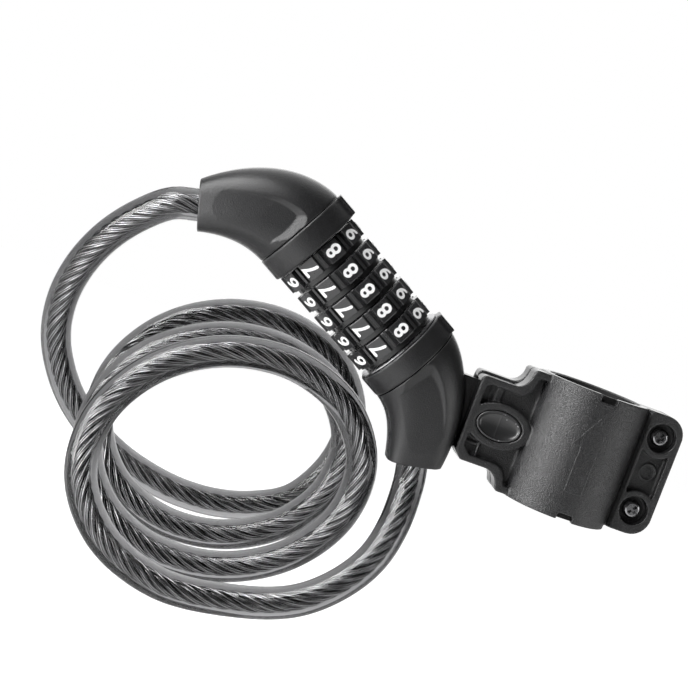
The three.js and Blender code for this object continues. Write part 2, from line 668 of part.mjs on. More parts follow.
piece(lock, 'lower_elbow', geometryOf(lowerElbow()), blackPlastic);
piece(lock, 'upper_elbow', geometryOf(elbow(-1, BOLT_RADIUS + GAP)), blackPlastic);
piece(lock, 'lower_collar', geometryOf(collar(1, coreOuter + GAP, 1, coreOuter + GAP)), blackPlastic);
const sleeveStart = stackHalf + 1.7;
const recessEnd = sleeveStart + SLEEVE_LENGTH + 2 * GAP - (stackHalf + GAP);
const sleeveRoom = SLEEVE_RADIUS + SLIDE_GAP + GAP;
const upperCollar = collar(-1, sleeveRoom, recessEnd, BOLT_RADIUS + GAP);
piece(lock, 'upper_collar', geometryOf(upperCollar), blackPlastic);

// ---- mechanism ----------------------------------------------------------------------
const dialCentres = Array.from({ length: DIAL_COUNT }, (_, i) => (i - (DIAL_COUNT - 1) / 2) * DIAL_PITCH);
const clutchOffset = -DIAL_PITCH / 2 + 0.6; // start of a clutch ring in its dial
const webOffset = clutchOffset + CLUTCH_LENGTH + GAP;
const toothOffset = webOffset + 0.3;
const boltTip = dialCentres.at(-1) + toothOffset + TOOTH_LENGTH;
const coreStart = -(sleeveStart + SLEEVE_LENGTH);
const clipEnd = -(stackHalf + 1.5 * GAP);
const slotHalf = TOOTH_WIDTH / 2 + SLIDE_GAP;

/** Outline of a dial: flat pads for the figures, a rib standing in each groove. */
function dialOutline() {
  const points = [];
  const floor = DIAL_RADIUS - DIAL_GROOVE_DEPTH;
  const ribTop = DIAL_RADIUS - RIB_DROP;
  for (let i = 0; i < DIGITS; i += 1) {
    const middle = (i / DIGITS) * 2 * Math.PI + THREE.MathUtils.degToRad(INDEX_ANGLE);
    const corner = (across, height) => [
      height * Math.sin(middle) + across * Math.cos(middle),
      height * Math.cos(middle) - across * Math.sin(middle),
    ];
    const ribTurn = middle + Math.PI / DIGITS;
    const rib = (across, height) => [
      height * Math.sin(ribTurn) + across * Math.cos(ribTurn),
      height * Math.cos(ribTurn) - across * Math.sin(ribTurn),
    ];
    points.push(corner(-PAD_WIDTH / 2, DIAL_RADIUS), corner(PAD_WIDTH / 2, DIAL_RADIUS));
    points.push(corner(PAD_WIDTH / 2, floor));
    points.push(rib(-RIB_WIDTH / 2, floor), rib(-RIB_WIDTH / 2, ribTop));
    points.push(rib(RIB_WIDTH / 2, ribTop), rib(RIB_WIDTH / 2, floor));
    const next = middle + (2 * Math.PI) / DIGITS;
    points.push([
      floor * Math.sin(next) - (PAD_WIDTH / 2) * Math.cos(next),
      floor * Math.cos(next) + (PAD_WIDTH / 2) * Math.sin(next),
    ]);
  }
  return outline(points);
}

/** A number dial round one centre on the axis. */
function numberDial(centre) {
  const start = centre - dialLength / 2;
  const end = centre + dialLength / 2;
  const face = plateX(dialOutline(), start, start + DIAL_FACE);
  const neck = rod('x', DIAL_NECK_RADIUS, start + 1, end, 0, 0, 30);
  return cut(join(solid(face), [neck]), [
    rod('x', CLUTCH_RADIUS + GAP, start - 1, centre + webOffset),
    rod('x', TOOTH_RADIUS + 0.5, start, end + 1, 0, 0, 16),
  ]);
}

/** A clutch ring with its gate and ten detent notches. */
function clutchRing(centre) {
  const start = centre + clutchOffset;
  const end = start + CLUTCH_LENGTH;
  const ring = solid(ringX(clutchInner, CLUTCH_RADIUS, start, end));
  const gate = block(start - 1, end + 1, -slotHalf, slotHalf, -TOOTH_RADIUS - SLIDE_GAP, 0);
  const notches = [];
  for (let i = 0; i < DIGITS; i += 1) {
    const notch = block(start - 1, end + 1, -0.7, 0.7, clutchInner - 0.6, clutchInner + 0.5);
    notches.push(notch.rotateX((i / DIGITS) * 2 * Math.PI));
  }
  return cut(ring, [gate, ...notches]);
}

/** The tube that the clutch rings ride on, slotted for the bolt's teeth. */
function lockCore() {
  const grooveFloor = coreOuter - DETENT_GROOVE;
  const stripHalf = DETENT_WIDTH / 2 + GAP;
  return cut(solid(rod('x', coreOuter, coreStart, coreEnd)), [
    rod('x', coreInner, coreStart - 1, boltTip + 3),
    block(coreStart - 1, boltTip + 1, -slotHalf, slotHalf, -coreOuter - 1, 0),
    block(-stackHalf + 1, stackHalf - 1, -stripHalf, stripHalf, grooveFloor, coreOuter + 1),
    ringX(coreOuter - CLIP_GROOVE, coreOuter + 2, clipEnd - CLIP_THICKNESS - GAP, clipEnd + GAP),
    rod('y', PIN_RADIUS + GAP, -20, 20, corePinX, 0, 16),
  ]);
}

/** The bolt: a round shank with one tooth behind every clutch ring. */
function lockingBolt() {
  const shank = solid(rod('x', BOLT_RADIUS, -coreEnd, boltTip + 1, 0, 0, 16));
  const teeth = dialCentres.map((centre) => {
    const start = centre + toothOffset;
    return block(start, start + TOOTH_LENGTH, -TOOTH_WIDTH / 2, TOOTH_WIDTH / 2, -TOOTH_RADIUS, -1);
  });
  return cut(join(shank, teeth), [rod('y', PIN_RADIUS + GAP, -20, 20, -corePinX, 0, 16)]);
}

/** The detent strip: a flat spring with one bump under each clutch ring. */
function detentSpring() {
  const low = coreOuter - DETENT_GROOVE + GAP;
  const high = low + DETENT_STRIP;
  const crest = coreOuter - 0.05;
  const shape = new THREE.Shape();
  shape.moveTo(-stackHalf + 1.5, low);
  shape.lineTo(stackHalf - 1.5, low);
  shape.lineTo(stackHalf - 1.5, high);
  for (const centre of [...dialCentres].reverse()) {
    const middle = centre + clutchOffset + CLUTCH_LENGTH / 2;
    shape.lineTo(middle + 1.6, high);
    shape.lineTo(middle + 0.5, crest);
    shape.lineTo(middle - 0.5, crest);
    shape.lineTo(middle - 1.6, high);
  }
  shape.lineTo(-stackHalf + 1.5, high);
  shape.closePath();
  return plateY(shape, -DETENT_WIDTH / 2, DETENT_WIDTH / 2);
}

/** An open ring on the end of the core; the opening lets the teeth through. */
function openRing(inner, outer, x0, x1, openHalf) {
  const opening = block(x0 - 1, x1 + 1, -openHalf, openHalf, -outer - 1, 0);
  return cut(solid(ringX(inner, outer, x0, x1)), [opening]);
}

/** A ferrule: rope bore at one end, eye for the pin at the other. */
function ferrule(side) {
  const pinAt = throat(side, ferrulePinDepth);
  return cut(solid(throatRod(side, FERRULE_RADIUS, ferruleStart, ferruleEnd)), [
    throatRod(side, ROPE_DIAMETER / 2 + GAP, ferruleStart - 1, ferruleStart + FERRULE_CUP),
    rod('y', PIN_RADIUS + GAP, -20, 20, side * pinAt.x, pinAt.y, 16),
  ]);
}

for (const [i, centre] of dialCentres.entries()) {
  piece(lock, `dial_${i + 1}`, geometryOf(numberDial(centre)), dialPlastic);
  piece(lock, `clutch_ring_${i + 1}`, geometryOf(clutchRing(centre)), steel);
}
piece(lock, 'lock_core', geometryOf(lockCore()), steel);
piece(lock, 'locking_bolt', geometryOf(lockingBolt()), steel);
piece(lock, 'detent_spring', closed(detentSpring()), steel);
const washerStart = stackHalf + GAP / 2;
const washerEnd = washerStart + WASHER_THICKNESS;
const stackWasher = ringX(clutchInner, DIAL_RADIUS + 0.5, washerStart, washerEnd, ROUND_SIDES);
piece(lock, 'stack_washer', closed(stackWasher), steel);
const clipInner = coreOuter - CLIP_GROOVE + GAP;
const clip = openRing(clipInner, SLEEVE_RADIUS, clipEnd - CLIP_THICKNESS, clipEnd, slotHalf + 0.7);
piece(lock, 'core_clip', geometryOf(clip), steel);
const resetSleeve = openRing(clutchInner, SLEEVE_RADIUS, coreStart, -sleeveStart, slotHalf + 0.5);
piece(lock, 'reset_sleeve', geometryOf(resetSleeve), steel);
const crossPin = (x, z) => closed(rod('y', PIN_RADIUS, PIN_FRONT, PIN_BACK, x, z, 16));
piece(lock, 'core_pin', crossPin(corePinX, 0), steel);
piece(lock, 'bolt_pin', crossPin(-corePinX, 0), steel);
for (const [side, name] of [[1, 'lower'], [-1, 'upper']]) {
  const pinAt = throat(side, ferrulePinDepth);
  piece(lock, `ferrule_${name}`, geometryOf(ferrule(side)), steel);
  piece(lock, `ferrule_pin_${name}`, crossPin(side * pinAt.x, pinAt.y), steel);
}

// ---- cable --------------------------------------------------------------------------
// The lead from the plug swings out to the left and back behind the coil.
const plugLead = [
  [-181, 6, 27.5], [-191, 15, 15], [-198, 25, 0], [-201, 35, -16], [-199.5, 43, -31], [-194, 49, -44],
  [-186, 53, -55], [-175, 56, -64.5], [-162, 58, -71.5], [-145, 58.5, -76.5], [-124, 57, -77],
];
// The last turn rises from the bottom of the coil into the fixed elbow.
const lockLead = [[-82, -21, -84.5], [-69, -20, -74], [-60, -16, -62], [-55.5, -9.5, -49]];

/** The loose turns of the coil, worked out from their middle, size and advance. */
function coilPoints() {
  const tilt = THREE.MathUtils.degToRad(COIL_TILT);
  const right = new THREE.Vector3(Math.cos(tilt), 0, Math.sin(tilt));
  const up = new THREE.Vector3(-Math.sin(tilt), 0, Math.cos(tilt));
  const points = [];
  for (let i = 0; i <= TURNS * TURN_POINTS; i += 1) {
    const turn = i / TURN_POINTS;
    const angle = 2 * Math.PI * turn;
    const from = turn - TURNS / 2;
    const value = ([middle, slope, bow]) => middle + slope * from + bow * from ** 2;
    const point = new THREE.Vector3(value(COIL_X), COIL_BACK_Y - TURN_ADVANCE * turn, value(COIL_Z));
    point.addScaledVector(right, value(COIL_HALF_WIDTH) * Math.sin(angle));
    point.addScaledVector(up, -value(COIL_HALF_HEIGHT) * Math.cos(angle));
    points.push(point);
  }
  return points;
}

/** The whole route, from inside one elbow to inside the other. */
function cableRoute() {
  const depth = SHEATH_GRIP;
  const end = (side, d) => {
    const at = throat(side, d);
    return lockPoint(side * at.x, 0, at.y);
  };
  const points = [
    end(-1, depth), end(-1, depth / 2), end(-1, 0), end(-1, -STRAIGHT_OUT),
    ...plugLead.map((p) => new THREE.Vector3(...p)),
    ...coilPoints(),
    ...lockLead.map((p) => new THREE.Vector3(...p)),
    end(1, -STRAIGHT_OUT), end(1, 0), end(1, depth / 2), end(1, depth),
  ];
  return new THREE.CatmullRomCurve3(points, false, 'centripetal');
}

/** A tube of flat sides along the cable's route. */
function cableTube(radius, innerRadius = 0) {
  const round = (r) => Array.from({ length: CABLE_SIDES }, (_, i) => {
    const angle = (i / CABLE_SIDES) * 2 * Math.PI;
    return new THREE.Vector2(r * Math.cos(angle), r * Math.sin(angle));
  });
  const shape = new THREE.Shape(round(radius));
  if (innerRadius > 0) shape.holes.push(new THREE.Path(round(innerRadius)));
  return new THREE.ExtrudeGeometry(shape, { steps: CABLE_STEPS, extrudePath: cableRoute() });
}

/** The rope runs on past the sheath into both ferrules. */
function wireRope() {
  const ropeEnd = ferruleStart + FERRULE_CUP - GAP;
  const ends = [-1, 1].map((side) =>
    throatRod(side, ROPE_DIAMETER / 2, SHEATH_GRIP - 0.5, ropeEnd, 16).applyMatrix4(lock.matrixWorld));
  return join(solid(cableTube(ROPE_DIAMETER / 2)), ends);
}

const sheathBore = ROPE_DIAMETER / 2 + 2 * GAP;
piece(part, 'cable_sheath', closed(cableTube(sheathRadius, sheathBore)), sheathPlastic);
piece(part, 'wire_rope', geometryOf(wireRope()), steel);

export default part;
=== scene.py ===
"""Five-dial cable lock hanging in its tube bracket: fine shapes, finishes and studio.

Sizes are in millimetres in the part's own frame (clamp bore up Z, figures towards -Y)
and turn into metres when a piece is placed.
"""

import json
import logging
import math
from dataclasses import dataclass, field
from enum import Enum
from typing import Sequence

import bmesh
import bpy
import numpy as np
from mathutils import Matrix, Vector

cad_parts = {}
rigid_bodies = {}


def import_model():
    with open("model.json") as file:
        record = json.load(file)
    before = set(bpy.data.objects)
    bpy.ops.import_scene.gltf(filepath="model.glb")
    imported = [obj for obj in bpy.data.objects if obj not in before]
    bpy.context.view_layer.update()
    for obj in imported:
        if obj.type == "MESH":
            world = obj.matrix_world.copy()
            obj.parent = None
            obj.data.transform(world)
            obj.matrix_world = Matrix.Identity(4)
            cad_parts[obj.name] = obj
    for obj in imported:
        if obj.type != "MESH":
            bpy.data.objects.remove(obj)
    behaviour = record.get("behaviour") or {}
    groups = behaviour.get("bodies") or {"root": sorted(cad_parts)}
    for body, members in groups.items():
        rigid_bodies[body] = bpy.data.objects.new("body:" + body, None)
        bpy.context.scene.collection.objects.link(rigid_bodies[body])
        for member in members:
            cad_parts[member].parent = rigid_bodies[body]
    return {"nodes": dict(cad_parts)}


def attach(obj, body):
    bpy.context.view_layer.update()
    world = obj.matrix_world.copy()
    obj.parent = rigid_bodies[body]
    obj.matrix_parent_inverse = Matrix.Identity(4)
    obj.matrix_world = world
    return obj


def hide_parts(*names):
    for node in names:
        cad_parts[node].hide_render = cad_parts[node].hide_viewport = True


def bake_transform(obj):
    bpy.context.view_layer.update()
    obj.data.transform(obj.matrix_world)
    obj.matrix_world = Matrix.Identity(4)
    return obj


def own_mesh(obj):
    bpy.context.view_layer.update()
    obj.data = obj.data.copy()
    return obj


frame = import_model()

Point2 = tuple[float, float]
Point3 = tuple[float, float, float]
Colour = tuple[float, float, float]
Piece = bpy.types.Object
Mesh = bpy.types.Mesh
Material = bpy.types.Material
Tree = bpy.types.NodeTree
Node = bpy.types.Node
Socket = bpy.types.NodeSocket
Sockets = bpy.types.bpy_prop_collection

log = logging.getLogger("cable_lock")
logging.basicConfig(level=logging.INFO, format="%(message)s")

MILLIMETRE = 0.001
TO_METRES = Matrix.Scale(MILLIMETRE, 4)
LOCK_CENTRE = Vector((-96.8, 0.0, 26.2))
LOCK_TILT = math.radians(29.4)
LOCK_FRAME = Matrix.Translation(LOCK_CENTRE) @ Matrix.Rotation(LOCK_TILT, 4, "Y")
INDEX_TURN = math.radians(4)
FINE_SIDES = 160
WHITE = (1, 1, 1, 1)


# ---- working in the solid ------------------------------------------------------------


class Axis(Enum):
    """The axis that a bar or a plate runs along."""

    X = 0
    Y = 1
    Z = 2


def cubic(t: float, points: Sequence[Point2]) -> Point2:
    """The point at a share t of a plane Bezier curve: start, two handles, end.

    Args:
        t: share of the curve, 0 to 1.
        points: start, two handles and end.

    Returns:
        the point.
    """
    u = 1 - t
    weights = (u**3, 3 * u * u * t, 3 * u * t * t, t**3)
    return sum(w * p[0] for w, p in zip(weights, points)), sum(w * p[1] for w, p in zip(weights, points))


def bezier(points: Sequence[Point2], steps: int = 16) -> list[Point2]:
    """Points along a plane Bezier curve, both ends included."""
    return [cubic(i / steps, points) for i in range(steps + 1)]


def oval(x: float, y: float, rx: float, ry: float, sides: int = 72) -> list[Point2]:
    """Points round an ellipse."""
    turn = 2 * math.pi / sides
    return [(x + rx * math.cos(i * turn), y + ry * math.sin(i * turn)) for i in range(sides)]


def arc(x: float, y: float, rx: float, ry: float, start: float, end: float, steps: int = 12) -> list[Point2]:
    """Points along an ellipse between two angles in degrees."""
    angles = [math.radians(start + (end - start) * i / steps) for i in range(steps + 1)]
    return [(x + rx * math.cos(a), y + ry * math.sin(a)) for a in angles]


def signed_power(value: float, power: float) -> float:
    """A power that keeps the sign of its base."""
    return math.copysign(abs(value) ** power, value)


def on_side(side: int, near: float, far: float) -> tuple[float, float]:
    """A run from near to far on one side of zero, its low end first."""
    low, high = sorted((side * near, side * far))
    return low, high


def put(name: str, data: bpy.types.ID) -> Piece:
    """A new object in the scene.

    Args:
        name: name of the object.
        data: its mesh, lamp or camera.

    Returns:
        the object.
    """
    item = bpy.data.objects.new(name, data)
    bpy.context.scene.collection.objects.link(item)
    return item


def baked(item: Piece) -> Mesh:
    """An object's mesh with its modifiers worked out.

    Args:
        item: the object.

    Returns:
        a new mesh.
    """
    graph = bpy.context.evaluated_depsgraph_get()
    graph.update()
    return bpy.data.meshes.new_from_object(item.evaluated_get(graph))


def placed(name: str, mesh: Mesh, where: Matrix) -> Piece:
    """Turn a mesh in millimetres into a piece in metres.

    Args:
        name: name of the piece.
        mesh: its mesh, which is moved.
        where: from the mesh's frame to the part's frame, in millimetres.

    Returns:
        the piece, with its place in its mesh.
    """
    mesh.transform(TO_METRES @ where)
    mesh.name = name
    return put(name, mesh)


class Stock:
    """A closed solid in millimetres that is cut, joined, rounded and then placed."""

    def __init__(self, verts: Sequence[Sequence[float]], faces: Sequence[Sequence[int]]) -> None:
        """Make the solid from its corners and faces, faces turned outwards.

        Args:
            verts: the corners.
            faces: corner numbers of each face.
        """
        mesh = bpy.data.meshes.new("stock")
        mesh.from_pydata([tuple(v) for v in verts], [], [tuple(f) for f in faces])
        edit = bmesh.new()
        edit.from_mesh(mesh)
        bmesh.ops.remove_doubles(edit, verts=edit.verts, dist=1e-5)
        bmesh.ops.recalc_face_normals(edit, faces=edit.faces)
        edit.to_mesh(mesh)
        edit.free()
        self.object = put("stock", mesh)
        self.tools: list["Stock"] = []

    def moved(self, matrix: Matrix) -> "Stock":
        """Move the solid's own corners, before it is cut, and give it back."""
        self.object.data.transform(matrix)
        return self

    def _modify(self, kind: str, **settings: object) -> "Stock":
        """Add a modifier with its settings.

        Args:
            kind: type of the modifier.
            settings: its properties.

        Returns:
            this solid.
        """
        modifier = self.object.modifiers.new(kind, kind)
        for label, value in settings.items():
            setattr(modifier, label, value)
        return self

    def _work(self, operation: str, tools: Sequence["Stock"]) -> "Stock":
        """Combine other solids with this one.

        Args:
            operation: union, difference or intersection.
            tools: the other solids.

        Returns:
            this solid.
        """
        for tool in tools:
            self._modify("BOOLEAN", operation=operation, solver="MANIFOLD", object=tool.object)
            self.tools.append(tool)
        return self

    def cut(self, *tools: "Stock") -> "Stock":
        """Take other solids away from this one."""
        return self._work("DIFFERENCE", tools)

    def join(self, *tools: "Stock") -> "Stock":
        """Add other solids to this one."""
        return self._work("UNION", tools)

    def common(self, *tools: "Stock") -> "Stock":
        """Keep only what this solid shares with others."""
        return self._work("INTERSECT", tools)

    def cast(self, grain: float, softening: int = 3) -> "Stock":
        """Round every edge as a moulding does.

        Args:
            grain: size of the surface facets.
            softening: passes of smoothing; more rounds the edges further.

        Returns:
            this solid.
        """
        self._modify("REMESH", mode="VOXEL", voxel_size=grain, use_smooth_shade=True)
        return self._modify("SMOOTH", factor=0.5, iterations=softening)

    def bevel(self, width: float, segments: int = 2, angle: float = 35.0) -> "Stock":
        """Break the sharp edges by a narrow chamfer."""
        return self._modify("BEVEL", width=width, segments=segments, limit_method="ANGLE",
                            angle_limit=math.radians(angle))

    def clear(self) -> None:
        """Remove the working objects."""
        for tool in self.tools:
            tool.clear()
        if self.object.name in bpy.data.objects:
            bpy.data.objects.remove(self.object)
        self.tools = []

    def place(self, name: str, where: Matrix = Matrix.Identity(4)) -> Piece:
        """Finish the solid as a piece in metres and clear the working objects.

        Args:
            name: name of the piece.
            where: from the solid's frame to the part's, in millimetres.

        Returns:
            the piece.
        """
        piece = placed(name, baked(self.object), where)
        self.clear()
        return piece


def block(x0: float, x1: float, y0: float, y1: float, z0: float, z1: float) -> Stock:
    """A box between two corners.

    Args:
        x0, x1: ends along X.
        y0, y1: ends along Y.
        z0, z1: ends along Z.

    Returns:
        the solid.
    """
    verts = [(x, y, z) for x in (x0, x1) for y in (y0, y1) for z in (z0, z1)]
    faces = [(0, 1, 3, 2), (4, 6, 7, 5), (0, 4, 5, 1), (2, 3, 7, 6), (0, 2, 6, 4), (1, 5, 7, 3)]
    return Stock(verts, faces)


def loft(rings: Sequence[Sequence[Sequence[float]]], closed: bool = False) -> Stock:
    """A skin over a row of closed rings, flat at both ends or closed on itself.

    Args:
        rings: rings of as many points each.
        closed: join the last ring to the first.

    Returns:
        the solid.
    """
    rows, count = len(rings), len(rings[0])
    faces: list[Sequence[int]] = []
    for i in range(rows if closed else rows - 1):
        for j in range(count):
            k, n = (j + 1) % count, (i + 1) % rows
            faces.append((i * count + j, i * count + k, n * count + k, n * count + j))
    if not closed:
        faces += [range(count), range((rows - 1) * count, rows * count)]
    return Stock([p for ring in rings for p in ring], faces)


def lifted(point: Point2, axis: Axis, h: float) -> Point3:
    """A point across an axis, the lower-lettered coordinate first, at a height along it.

    Args:
        point: the point.
        axis: the axis.
        h: the height.

    Returns:
        the point in space.
    """
    values = list(point)
    values.insert(axis.value, h)
    return tuple(values)


def plate(outline: Sequence[Point2], axis: Axis, low: float, high: float) -> Stock:
    """A flat outline given thickness along an axis, from low to high."""
    return loft([[lifted(p, axis, h) for p in outline] for h in (low, high)])


def bar(axis: Axis, r: float, low: float, high: float, u: float = 0, v: float = 0, sides: int = 64) -> Stock:
    """A round bar along an axis, its middle at u, v across it."""
    return plate(oval(u, v, r, r, sides), axis, low, high)


def turned(profile: Sequence[Point2], axis: Axis, sides: int = 96) -> Stock:
    """A closed profile of radius and height turned round an axis.

    Args:
        profile: radius and height of each corner.
        axis: the axis.
        sides: number of sides round it.

    Returns:
        the solid.
    """
    angles = [2 * math.pi * i / sides for i in range(sides)]
    rings = [[lifted((r * math.cos(a), r * math.sin(a)), axis, h) for r, h in profile] for a in angles]
    return loft(rings, True)


# ---- node building -------------------------------------------------------------------


def link_all(tree: Tree, *pairs: tuple[Socket, Socket]) -> None:
    """Link pairs of output and input sockets.

    Args:
        tree: the node tree.
        pairs: output and input sockets.
    """
    for source, target in pairs:
        tree.links.new(source, target)


def feed(tree: Tree, target: Socket, value: object) -> None:
    """Link a socket to an input, or set the input to a plain value.

    Args:
        tree: the node tree.
        target: the input.
        value: a socket or a plain value.
    """
    if isinstance(value, Socket):
        tree.links.new(value, target)
    else:
        target.default_value = value


def wire(tree: Tree, node: Node, **values: object) -> Sockets:
    """Feed a node's inputs by name, underscores standing for spaces, and give its outputs.

    Args:
        tree: the node tree.
        node: the node.
        values: a socket or a plain value for each input.

    Returns:
        its outputs.
    """
    for label, value in values.items():
        feed(tree, node.inputs[label.replace("_", " ")], value)
    return node.outputs


def shader(tree: Tree, kind: str, **values: object) -> Sockets:
    """Add a shader node, feed it and give its outputs."""
    return wire(tree, tree.nodes.new(f"ShaderNode{kind}"), **values)


def math_node(tree: Tree, operation: str, *values: object) -> Socket:
    """Add a Math node whose inputs are sockets or numbers, and give its output.

    Args:
        tree: the node tree.
        operation: the sum to do.
        values: its inputs in order.

    Returns:
        its result.
    """
    node = tree.nodes.new("ShaderNodeMath")
    node.operation = operation
    for target, value in zip(node.inputs, values):
        feed(tree, target, value)
    return node.outputs[0]


def ramp(tree: Tree, value: Socket, start: object, end: object, first: float = 0.0, last: float = 1.0,
         smooth: bool = False) -> Socket:
    """Turn a run from start to end into a run from first to last, held beyond both.

    Args:
        tree: the node tree.
        value: the value to turn.
        start, end: the run it comes in.
        first, last: the run it leaves in.
        smooth: ease both ends.

    Returns:
        the turned value.
    """
    node = tree.nodes.new("ShaderNodeMapRange")
    node.interpolation_type = "SMOOTHSTEP" if smooth else "LINEAR"
    return wire(tree, node, Value=value, From_Min=start, From_Max=end, To_Min=first, To_Max=last)["Result"]


def mixed(tree: Tree, amount: Socket, first: Sockets, second: Sockets) -> Socket:
    """The first shader where the amount is 0 and the second where it is 1.

    Args:
        tree: the node tree.
        amount: share of the second.
        first, second: outputs of the shaders.

    Returns:
        the mix.
    """
    node = tree.nodes.new("ShaderNodeMixShader")
    for target, source in zip(node.inputs, (amount, first[0], second[0])):
        tree.links.new(source, target)
    return node.outputs[0]


def shader_group(name: str, inputs: dict[str, float], outputs: Sequence[str]) -> tuple[Tree, Sockets, Node]:
    """An empty shader node group with number sockets, what enters it and its last node.

    Args:
        name: name of the group.
        inputs: default of each input.
        outputs: labels of the outputs.

    Returns:
        the group, its entering sockets and its last node.
    """
    tree = bpy.data.node_groups.new(name, "ShaderNodeTree")
    for label, value in inputs.items():
        socket = tree.interface.new_socket(name=label, in_out="INPUT", socket_type="NodeSocketFloat")
        socket.default_value = value
    for label in outputs:
        tree.interface.new_socket(name=label, in_out="OUTPUT", socket_type="NodeSocketFloat")
    return tree, tree.nodes.new("NodeGroupInput").outputs, tree.nodes.new("NodeGroupOutput")


def grain_group() -> Tree:
    """Spark-eroded mould grain: a height, a speckle mask and slow clouds, sized in metres.

    Returns:
        the group.
    """
    inputs = {"Size": 0.0004, "Cloud": 0.004, "Cells": 0.8, "Start": 0.45, "End": 0.62}
    tree, given, leave = shader_group("Moulded grain", inputs, ["Height", "Speckle", "Cloud"])
    place = shader(tree, "TexCoord")["Object"]
    scale = math_node(tree, "DIVIDE", 1.0, given["Size"])
    wide = math_node(tree, "DIVIDE", 1.0, given["Cloud"])
    fine = shader(tree, "TexNoise", Vector=place, Scale=scale, Detail=2.0)["Fac"]
    cells = shader(tree, "TexVoronoi", Vector=place, Scale=math_node(tree, "MULTIPLY", scale, given["Cells"]))
    cloud = shader(tree, "TexNoise", Vector=place, Scale=wide, Detail=3.0)["Fac"]
    wire(tree, leave, Height=math_node(tree, "ADD", fine, cells["Distance"]),
         Speckle=ramp(tree, fine, given["Start"], given["End"]), Cloud=cloud)
    return tree


def edge_group() -> Tree:
    """Corners: a mask that is 1 on outward ones, which carries a painted highlight, and one that is 1 in
    hollow ones.

    Returns:
        the group.
    """
    inputs = {"Start": 0.52, "End": 0.62, "Hollow start": 0.48, "Hollow end": 0.40}
    tree, given, leave = shader_group("Edge highlight and hollows", inputs, ["Mask", "Hollow"])
    bend = shader(tree, "NewGeometry")["Pointiness"]
    wire(tree, leave, Mask=ramp(tree, bend, given["Start"], given["End"]),
         Hollow=ramp(tree, bend, given["Hollow start"], given["Hollow end"]))
    return tree


def face_group() -> Tree:
    """Grained mould faces: 1 where a surface faces front or back, 0 on polished ends and parting faces.

    Returns:
        the group.
    """
    tree, given, leave = shader_group("Mould faces", {"Start": 0.15, "End": 0.45}, ["Face"])
    split = tree.nodes.new("ShaderNodeSeparateXYZ")
    tree.links.new(shader(tree, "TexCoord")["Normal"], split.inputs[0])
    facing = math_node(tree, "ABSOLUTE", split.outputs["Y"])
    wire(tree, leave, Face=ramp(tree, facing, given["Start"], given["End"]))
    return tree


GRAIN = grain_group()
EDGES = edge_group()
FACES = face_group()


# ---- finishes ------------------------------------------------------------------------


class FinishBuilder:
    """Shared steps for writing one material."""

    def __init__(self, name: str) -> None:
        """Start a material with its Principled shader.

        Args:
            name: name of the material.
        """
        self.material = bpy.data.materials.new(name)
        self.material.use_nodes = True
        self.tree = self.material.node_tree
        self.shader = self.tree.nodes["Principled BSDF"]

    def math(self, operation: str, *values: object) -> Socket:
        """Add a Math node."""
        return math_node(self.tree, operation, *values)

    def group(self, tree: Tree, **values: float) -> Sockets:
        """Place a node group with its own values and give its outputs.

        Args:
            tree: the group.
            values: its inputs.

        Returns:
            its outputs.
        """
        node = self.tree.nodes.new("ShaderNodeGroup")
        node.node_tree = tree
        return wire(self.tree, node, **values)

    def blend(self, amount: object, low: object, high: object) -> Socket:
        """Mix two colours, each a socket or a plain colour, by an amount.

        Args:
            amount: share of the high colour.
            low: colour at 0.
            high: colour at 1.

        Returns:
            the mix.
        """
        node = self.tree.nodes.new("ShaderNodeMix")
        node.data_type = "RGBA"
        for slot, value in ((0, amount), (6, low), (7, high)):
            feed(self.tree, node.inputs[slot], (*value, 1.0) if isinstance(value, tuple) else value)
        return node.outputs[2]

    def drift(self, cloud: Socket, middle: float, spread: float) -> Socket:
        """A value that drifts about its middle with the clouds."""
        return self.math("MULTIPLY_ADD", cloud, spread, middle - spread / 2)

    def bump(self, height: Socket, depth: float) -> None:
        """Feed a height to the shader's normal; depth in metres."""
        self.set(Normal=shader(self.tree, "Bump", Height=height, Distance=depth)["Normal"])

    def set(self, **values: object) -> None:
        """Feed the shader's inputs by name."""
        wire(self.tree, self.shader, **values)


@dataclass(frozen=True)
class MouldedPlastic:
    """Black moulded plastic with mould grain and a painted highlight on its outward edges."""

    colour: Colour
    speckle_colour: Colour
    edge_highlight_colour: Colour
    roughness: float
    grain_size: float
    grain_depth: float
    speckle: float
    # edge: share of the painted highlight laid on outward edges
    edge: float
    skin: float = 0.0
    skin_roughness: float = 0.14
    cloud_size: float = 0.006
    roughness_spread: float = 0.12
    side_gloss: float = 0.5
    hollow_roughness: float = 0.4

    def material(self, name: str) -> Material:
        """Build the finish.

        Args:
            name: name of the material.

        Returns:
            the material.
        """
        b = FinishBuilder(name)
        grain, edges = b.group(GRAIN, Size=self.grain_size, Cloud=self.cloud_size), b.group(EDGES)
        face = b.group(FACES)["Face"]
        dots = b.math("MULTIPLY", grain["Speckle"], self.speckle)
        # rim: painted highlight, the lighter edge colour laid on outward corners
        rim = b.math("MULTIPLY", edges["Mask"], self.edge)
        colour = b.blend(rim, b.blend(dots, self.colour, self.speckle_colour), self.edge_highlight_colour)
        share = b.math("MULTIPLY_ADD", face, 1 - self.side_gloss, self.side_gloss)
        rough = b.math("MULTIPLY_ADD", b.drift(grain["Cloud"], self.roughness, self.roughness_spread), share,
                       b.math("MULTIPLY", edges["Hollow"], self.hollow_roughness))
        b.set(Base_Color=colour, Roughness=rough, Coat_Weight=self.skin, Coat_Roughness=self.skin_roughness)
        b.bump(b.math("MULTIPLY", grain["Height"], face), self.grain_depth)
        return b.material


